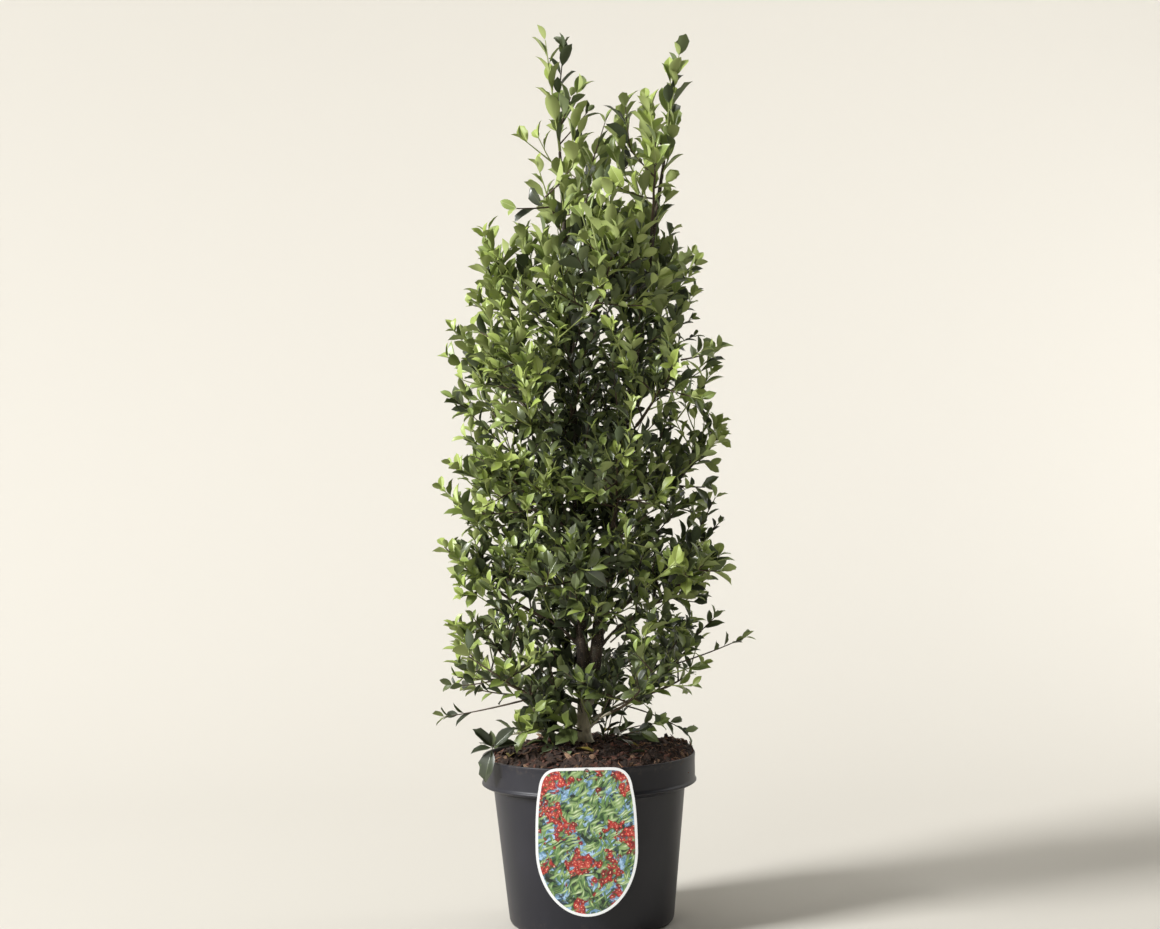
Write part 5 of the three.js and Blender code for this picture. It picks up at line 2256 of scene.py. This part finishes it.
@dataclass(frozen=True)
class TagFinish:
    """White plastic, printed on its front with a plain border round garden flowers."""

    border: float = 3.4
    middle: Point = (-5.0, -141.8, 131.0)
    white: Colour = rgb(236, 238, 238)
    margin: Colour = rgb(240, 242, 242)
    thicket: tuple[Colour, Colour] = (rgb(52, 74, 54), rgb(146, 168, 118))
    sky: tuple[Colour, Colour] = (rgb(92, 134, 168), rgb(176, 208, 238))
    gloom: Colour = rgb(26, 36, 32)
    pollen: Colour = rgb(248, 190, 160)

    def plain(self) -> bpy.types.Material:
        """The bare white plastic of the back, the edge and the strap."""
        paint = Paint("tag_plastic", Base_Color=self.white)
        grain = paint.noise(paint.place(), 300)
        return paint.finish(Roughness=0.32 + grain * 0.12, Normal=paint.bump(grain, 0.00004, 0.4))

    def printed(self) -> bpy.types.Material:
        """The print: drifts of red flowers in a thicket of narrow leaves, with sky and shade."""
        paint = Paint("tag_print", Specular_IOR_Level=0.55)
        place = paint.place(shift=tuple(-c * MM for c in self.middle))
        x, _, z = paint.parts(place)
        sway_x = (paint.noise(place, 38, 2) - 0.5) * 0.016
        sway_z = (paint.noise(paint.place(shift=(0.4, 0, 0.2)), 38, 2) - 0.5) * 0.016
        flat = paint.wire("ShaderNodeCombineXYZ", {0: x + sway_x, 1: z + sway_z})
        clear = paint.noise(flat, 40, 4, 0.62)
        shade = paint.noise(paint.moved(flat, 0.3, 0.1), 62, 5, 0.65)
        far = paint.noise(paint.moved(flat, 0.6, 0.6), 110, 5, 0.7)
        grain = paint.noise(flat, 420, 3, 0.6)
        colour = paint.blend(far.step(0.36, 0.64), *self.thicket)
        colour = self.leaves(paint, flat, colour, grain, FAR_LEAVES)
        sky = paint.blend(far.step(0.4, 0.6), *self.sky)
        colour = paint.blend(clear.step(0.46, 0.51), colour, sky)
        colour = paint.blend(shade.step(0.5, 0.57) * 0.9, colour, self.gloom)
        colour = self.leaves(paint, flat, colour, grain, NEAR_LEAVES)
        colour = self.flowers(paint, flat, colour, grain)
        inset = paint.wire("ShaderNodeAttribute", output="Fac", attribute_name="inset")
        colour = paint.blend(inset > self.border * MM, self.margin, colour)
        return paint.finish(Base_Color=colour, Roughness=0.3 + clear * 0.1)

    def leaves(self, paint: Paint, flat: Wire, colour: Wire, grain: Wire, layers: tuple) -> Wire:
        """Lays layers of narrow leaves over a picture.

        Args:
            paint: the print.
            flat: its level and upright place.
            colour: the picture behind.
            grain: fine mottling for the leaves.
            layers: the layers from the back to the front.

        Returns:
            The picture with the leaves.
        """
        for turn, scale, least, pale, dark in layers:
            values = {"Rotation": (0, 0, turn), "Scale": (1, 5.2, 1), "Location": (turn, 0, 0)}
            values = {"Vector": flat, **values}
            spun = paint.wire("ShaderNodeMapping", values, vector_type="TEXTURE")
            cell = {"Vector": spun, "Scale": scale, "Randomness": 0.85}
            blade, code, *_ = paint.wires("ShaderNodeTexVoronoi", cell, voronoi_dimensions="2D")
            share, kept, _ = paint.wires("ShaderNodeSeparateColor", {0: code})
            shown = kept > least
            tone = paint.blend(share + grain * 0.6 - 0.3, dark, pale)
            colour = paint.blend((blade < 0.44) * shown * 0.65, colour, dark)
            tone = paint.blend(blade.step(0.0, 0.3), tone, dark)
            colour = paint.blend((blade < 0.33) * shown, colour, tone)
        return colour

    def flowers(self, paint: Paint, flat: Wire, colour: Wire, grain: Wire) -> Wire:
        """Lays drifts of small five-petalled red flowers over a picture.

        Args:
            paint: the print.
            flat: its level and upright place.
            colour: the picture behind.
            grain: fine mottling for the petals.

        Returns:
            The picture with the flowers.
        """
        drift = paint.noise(paint.moved(flat, 0.52, 0.93), 24, 3, 0.6)
        for bright, deep, scale, shift, least in FLOWERS:
            moved = paint.moved(flat, shift, shift * 2)
            cell = {"Vector": moved, "Scale": scale, "Randomness": 0.8}
            _, code, centre, *_ = paint.wires("ShaderNodeTexVoronoi", cell, voronoi_dimensions="2D")
            away = paint.wire("ShaderNodeVectorMath", {0: moved, 1: centre}, operation="SUBTRACT")
            across, up, _ = paint.parts(away)
            tone = paint.wire("ShaderNodeSeparateColor", {0: code}, 1)
            far = paint.wire("ShaderNodeVectorMath", {0: away}, 1, operation="LENGTH") * scale
            turn = paint.math("ARCTAN2", up, across)
            petals = paint.math("ABSOLUTE", paint.math("SINE", turn * 2.5 + tone * 3))
            chosen = drift > tone * 0.06 + least
            colour = paint.blend((far < 0.5) * chosen * 0.6, colour, deep)
            shade = paint.blend(petals * 0.5 + grain * 0.6 + tone * 0.6 - 0.5, deep, bright)
            colour = paint.blend((far < petals * 0.16 + 0.26) * chosen, colour, shade)
            colour = paint.blend((far < 0.11) * chosen * 0.8, colour, self.pollen)
        return colour


@dataclass
class Tag:
    """The picture tag that hangs by a strap over the front of the rim."""

    width: float = 128
    height: float = 186
    low: float = 38
    centre: float = -5
    thick: float = 0.8
    corner: float = 27
    tail: float = 84
    front: float = -142.6
    bow: float = 2.6
    rings: int = 26
    strap_half: float = 6
    rim_inside: float = -135.6
    rim_top: float = 222.35
    wire_radius: float = 0.55
    crease: float = 40

    def outline(self) -> list[tuple[float, float]]:
        """The tag's edge, counterclockwise from its left, about its own middle line."""
        half, top = self.width / 2, self.height
        shoulder, flat = half - 5, half - self.corner - 4
        low, high = top - self.corner * 1.8, top - self.corner
        turns = (math.pi * i / 48 for i in range(49))
        path = [(-half * math.cos(turn), self.tail * (1 - math.sin(turn))) for turn in turns]
        spans = (
            ((half, self.tail), (half, low), (shoulder, high), 18),
            ((shoulder, high), (shoulder - 2.5, top), (flat, top), 14),
            ((flat, top), (0, top + 0.6), (-flat, top), 14),
            ((-flat, top), (2.5 - shoulder, top), (-shoulder, high), 14),
            ((-shoulder, high), (-half, low), (-half, self.tail), 18),
        )
        for *stops, steps in spans:
            path += [tuple(arc(*map(Vector, stops), i / steps)) for i in range(1, steps + 1)]
        return path[:-1]

    def depth(self, x: float, z: float) -> float:
        """Where the front face lies: bowed back a little at its sides and foot.

        Args:
            x: how far right of the tag's middle line.
            z: how far above its foot.

        Returns:
            The place along Y.
        """
        across, down = x / (self.width / 2), (self.height - z) / self.height
        return self.front + self.bow * across**2 + 0.8 * down**2

    def plate(self) -> bpy.types.Mesh:
        """The plate as a closed sheet, with each corner's distance from the edge."""
        edge = [Vector(spot) for spot in self.outline()]
        path = np.array(edge)
        line = np.roll(path, -1, axis=0) - path
        middle = Vector((0, self.height * 0.47))
        corners: list[Point] = []
        insets: list[float] = []
        sides: list[list[range]] = []
        for shift in (0, self.thick):
            rings = []
            for ring in range(self.rings + 1):
                first, share = len(corners), 1 - ring / self.rings
                for end in edge if share else [middle]:
                    spot = (end - middle) * share + middle
                    y = self.depth(*spot) + shift
                    corners.append((spot.x + self.centre, y, spot.y + self.low))
                    away = np.array(spot) - path
                    along = np.clip((away * line).sum(1) / (line**2).sum(1), 0, 1)
                    away -= line * along[:, None]
                    insets.append(float(np.linalg.norm(away, axis=1).min()) * MM)
                rings.append(range(first, len(corners)))
            sides.append(rings)
        front, back = sides
        faces = ring_faces(front)
        for rings in (back, (front[0], back[0])):
            faces += ring_faces(rings, is_turned=True)
        mesh = new_mesh("tag", corners, faces)
        put(mesh, "inset", "FLOAT", insets)
        return mesh

    def strap(self) -> bpy.types.Mesh:
        """The narrow strap over the rim, rounded at its bends."""
        start, inner, over = self.front + self.thick - 0.2, self.rim_inside, self.rim_top
        stops = ((start, over + 0.4), (inner - 0.2, over + 0.4), (inner + 0.5, over - 1.0),
                 (inner + 0.5, over - 7.0))
        path = Path.through(((self.centre, *stop) for stop in stops), 6).points
        corners: list[Vector] = []
        for i, point in enumerate(path):
            ahead = path[min(i + 1, len(path) - 1)] - path[max(i - 1, 0)]
            across = Vector((0, -ahead.z, ahead.y)).normalized() * self.thick / 2
            for x, side in ((-1, 1), (1, 1), (1, -1), (-1, -1)):
                corners.append(point + across * side + RIGHT * x * self.strap_half)
        rings = [range(i, i + 4) for i in range(0, len(corners), 4)]
        faces = [*ring_faces(rings), tuple(rings[0])[::-1], tuple(rings[-1])]
        return new_mesh("strap", corners, faces, is_smooth=False)

    def loop(self) -> bpy.types.Mesh:
        """The little wire loop through the tag's top."""
        middle = Vector((self.centre + 1.5, self.front - 0.9, self.low + self.height - 7.5))
        points = []
        for turn in (FULL_TURN * i / 24 for i in range(25)):
            level, up = math.sin(turn), -math.cos(turn)
            points.append(middle + Vector((3.4 * level, 0.5 * up, 6.2 * up)))
        return new_mesh("loop", *tube(points, [self.wire_radius] * len(points), 8))

    def build(self) -> list[bpy.types.Object]:
        """The printed plate, the strap and the loop."""
        finish = TagFinish()
        plain, wire = finish.plain(), TwigFinish("tag_wire", rgb(52, 54, 50), 0.4).make()
        plate = new_object("picture_tag", self.plate(), plain, finish.printed())
        for polygon in plate.data.polygons:
            polygon.material_index = 1 if polygon.normal.y < -0.7 else 0
        plate.data.set_sharp_from_angle(angle=math.radians(self.crease))
        return [
            fit(plate, "label_plastic", "label"),
            fit(new_object("tag_strap", self.strap(), plain), "label_plastic"),
            fit(new_object("tag_loop", self.loop(), wire), "label_plastic"),
        ]


# ---- Fallen leaves, studio and the whole scene ----

LITTER_LIFT = 2.2
# Leaves on the compost: place, turn, length, form, tint and how much they rise
LITTER = (
    (-62, -64, 0.9, 46, 6, Tint.FALLEN, 0.25), (-22, -60, -0.5, 36, 3, Tint.YELLOW, 0.1),
    (-24, -92, 1.9, 24, 1, Tint.FALLEN, 0.15), (66, -40, 2.6, 27, 0, Tint.YELLOW, 0.1),
    (-84, -20, 0.3, 30, 2, Tint.MATURE, 0.2), (88, 30, 4.1, 28, 4, Tint.FALLEN, 0.1),
    (20, 74, 1.2, 30, 5, Tint.YELLOW, 0.1), (-40, 84, 3.3, 32, 7, Tint.FALLEN, 0.2),
    (52, -84, 0.1, 22, 5, Tint.DARK, 0.15), (-104, -46, 1.4, 26, 0, Tint.YELLOW, 0.1),
)


def fallen_leaves(compost: Compost) -> list[Leaf]:
    """A few leaves that lie on the compost round the trunk.

    Args:
        compost: the compost that they lie on.

    Returns:
        The leaves.
    """
    leaves = []
    for x, y, turn, length, form, tint, rise in LITTER:
        root = Vector((x, y, compost.height(x, y) + LITTER_LIFT))
        heading = Vector((math.cos(turn), math.sin(turn), rise)).normalized()
        leaves.append(Leaf(root, heading, square_to(UP, heading), length, form, tint))
    return leaves


class LightSide(Enum):
    """The studio's soft white lights: place, aim, width and power."""

    KEY = ((-7.7, -3.7, 4.8), (0, 0, 0.6), 2.7, 1440.0)
    FILL = ((-2.6, -5.2, 2.2), (0, 0, 0.5), 2.4, 46.0)
    TOP = ((-0.4, 0.4, 3.4), (0, 0, 0.8), 1.4, 16.0)
    RIM = ((3.2, 1.5, 2.2), (1.5, 1.4, 0.0), 1.6, 20.0)
    PAPER = ((2.6, 0.9, 1.9), (1.2, 3.9, 1.9), 2.0, 33.0)


@dataclass(frozen=True)
class PaperFinish:
    """Matt studio paper with painted shade, a little darker towards the upper left, where the key
    light falls strongest.
    """

    pale: Colour
    # How dark the painted shade at the upper left makes the paper
    shade: float = 0.86

    def make(self) -> bpy.types.Material:
        """The paper's material."""
        paint = Paint("studio_paper", Roughness=0.95, Specular_IOR_Level=0.1)
        x, _, z = paint.parts(paint.place())
        dark = tuple(c * self.shade for c in self.pale)
        # Painted shade: darker towards the upper left, where the key light makes the backdrop
        # brightest.
        return paint.finish(Base_Color=paint.blend((z - x).step(0.6, 5.0), self.pale, dark))


@dataclass
class Studio:
    """A pale floor that sweeps up behind, soft lights and the camera."""

    pale: Colour = rgb(214, 210, 201)
    lens: float = 60.9
    eye: Point = (-0.0037, -2.593, 0.603)
    roll: float = 0.0204
    background: float = 0.17
    surround: float = 1.25
    below: float = 0.4
    near: float = -5200
    far: float = 900
    bend: float = 3000
    bend_steps: int = 32
    half: float = 6500

    def sweep(self) -> None:
        """The floor with its backdrop in one smooth sheet."""
        path = [(self.near, 0), (self.far, 0)]
        for i in range(1, self.bend_steps + 1):
            turn = math.pi / 2 * i / self.bend_steps
            path.append((self.far + self.bend * math.sin(turn), self.bend * (1 - math.cos(turn))))
        path.append((self.far + self.bend, 2 * self.bend))
        corners = [(x, y, z - self.below) for y, z in path for x in (-self.half, self.half)]
        faces = [(i, i + 1, i + 3, i + 2) for i in range(0, len(corners) - 2, 2)]
        sheet = new_mesh("studio_floor", corners, faces)
        new_object("studio_floor", sheet, PaperFinish(self.pale).make())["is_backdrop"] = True

    def lights(self) -> None:
        """The soft lights and an even pale surround."""
        for side in LightSide:
            place, aim, size, power = side.value
            lamp = bpy.data.lights.new(f"light_{side.name.lower()}", "AREA")
            lamp.shape, lamp.size, lamp.energy = "SQUARE", size, power
            holder = bpy.data.objects.new(lamp.name, lamp)
            holder.location = place
            ahead = Vector(aim) - Vector(place)
            holder.rotation_euler = ahead.to_track_quat("-Z", "Y").to_euler()
            bpy.context.scene.collection.objects.link(holder)
        world = bpy.data.worlds.new("studio_air")
        world.use_nodes = True
        air = world.node_tree.nodes["Background"]
        air.inputs["Color"].default_value = (*self.pale, 1)
        bench = Bench(world.node_tree)
        seen = bench.wire("ShaderNodeLightPath", output="Is Camera Ray")
        strength = seen * (self.surround - self.background) + self.background
        world.node_tree.links.new(strength.socket, air.inputs["Strength"])
        bpy.context.scene.world = world

    def camera(self) -> None:
        """A level camera in front, turned by the slight tilt of its tripod."""
        lens = bpy.data.cameras.new("front_camera")
        lens.lens, lens.sensor_width, lens.sensor_fit = self.lens, 36, "HORIZONTAL"
        holder = bpy.data.objects.new("front_camera", lens)
        holder.location = self.eye
        holder.rotation_euler = (math.pi / 2, self.roll, 0)
        bpy.context.scene.collection.objects.link(holder)
        bpy.context.scene.camera = holder

    def build(self) -> None:
        """The whole studio."""
        self.sweep()
        self.lights()
        self.camera()
        view = bpy.context.scene.view_settings
        view.view_transform, view.look, view.exposure = "Standard", "None", 0.0


def report(*pieces: bpy.types.Object) -> None:
    """Logs each piece with its size."""
    for piece in pieces:
        piece.data.calc_loop_triangles()
        LOG.info("%s: %d triangles", piece.name, len(piece.data.loop_triangles))


def main() -> None:
    """Builds the plant, the pot and the studio in order."""
    logging.basicConfig(level=logging.INFO, format="%(name)s: %(message)s")
    Studio().build()
    plan = Plan()
    report(Pot().build())
    compost = Compost()
    report(*compost.build())
    report(*Tag().build())
    report(Limbs(plan).build())
    growth = Growth(plan)
    growth.grow()
    press = LeafPress()
    lathe = TwigLathe((
        TwigFinish("twig_brown", rgb(70, 56, 40), 0.7).make(),
        TwigFinish("twig_green", rgb(140, 150, 84), 0.5).make(),
    ))
    for tier, leaves in growth.leaves.items():
        twigs = growth.twigs[tier]
        nodes = [f"foliage_{mass.name}" for mass in plan.masses if mass.tier == tier]
        slot = "leaf_young" if tier in ("high", "top", "tips") else "leaf_mature"
        foliage = fit(press.press(f"leaves_{tier}", leaves), slot, *nodes)
        LOG.info("%s has %d leaves on %d twigs", tier, len(leaves), len(twigs))
        report(foliage, fit(lathe.draw(f"twigs_{tier}", twigs), "bark"))
    report(fit(press.press("fallen_leaves", fallen_leaves(compost)), "leaf_mature"))
    press.forms.clear()
    boxes = {"cad": CAD_BOX, "visual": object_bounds()}
    {name: [list(corner) for corner in box] for name, box in boxes.items()}


if __name__ == "__main__":
    main()
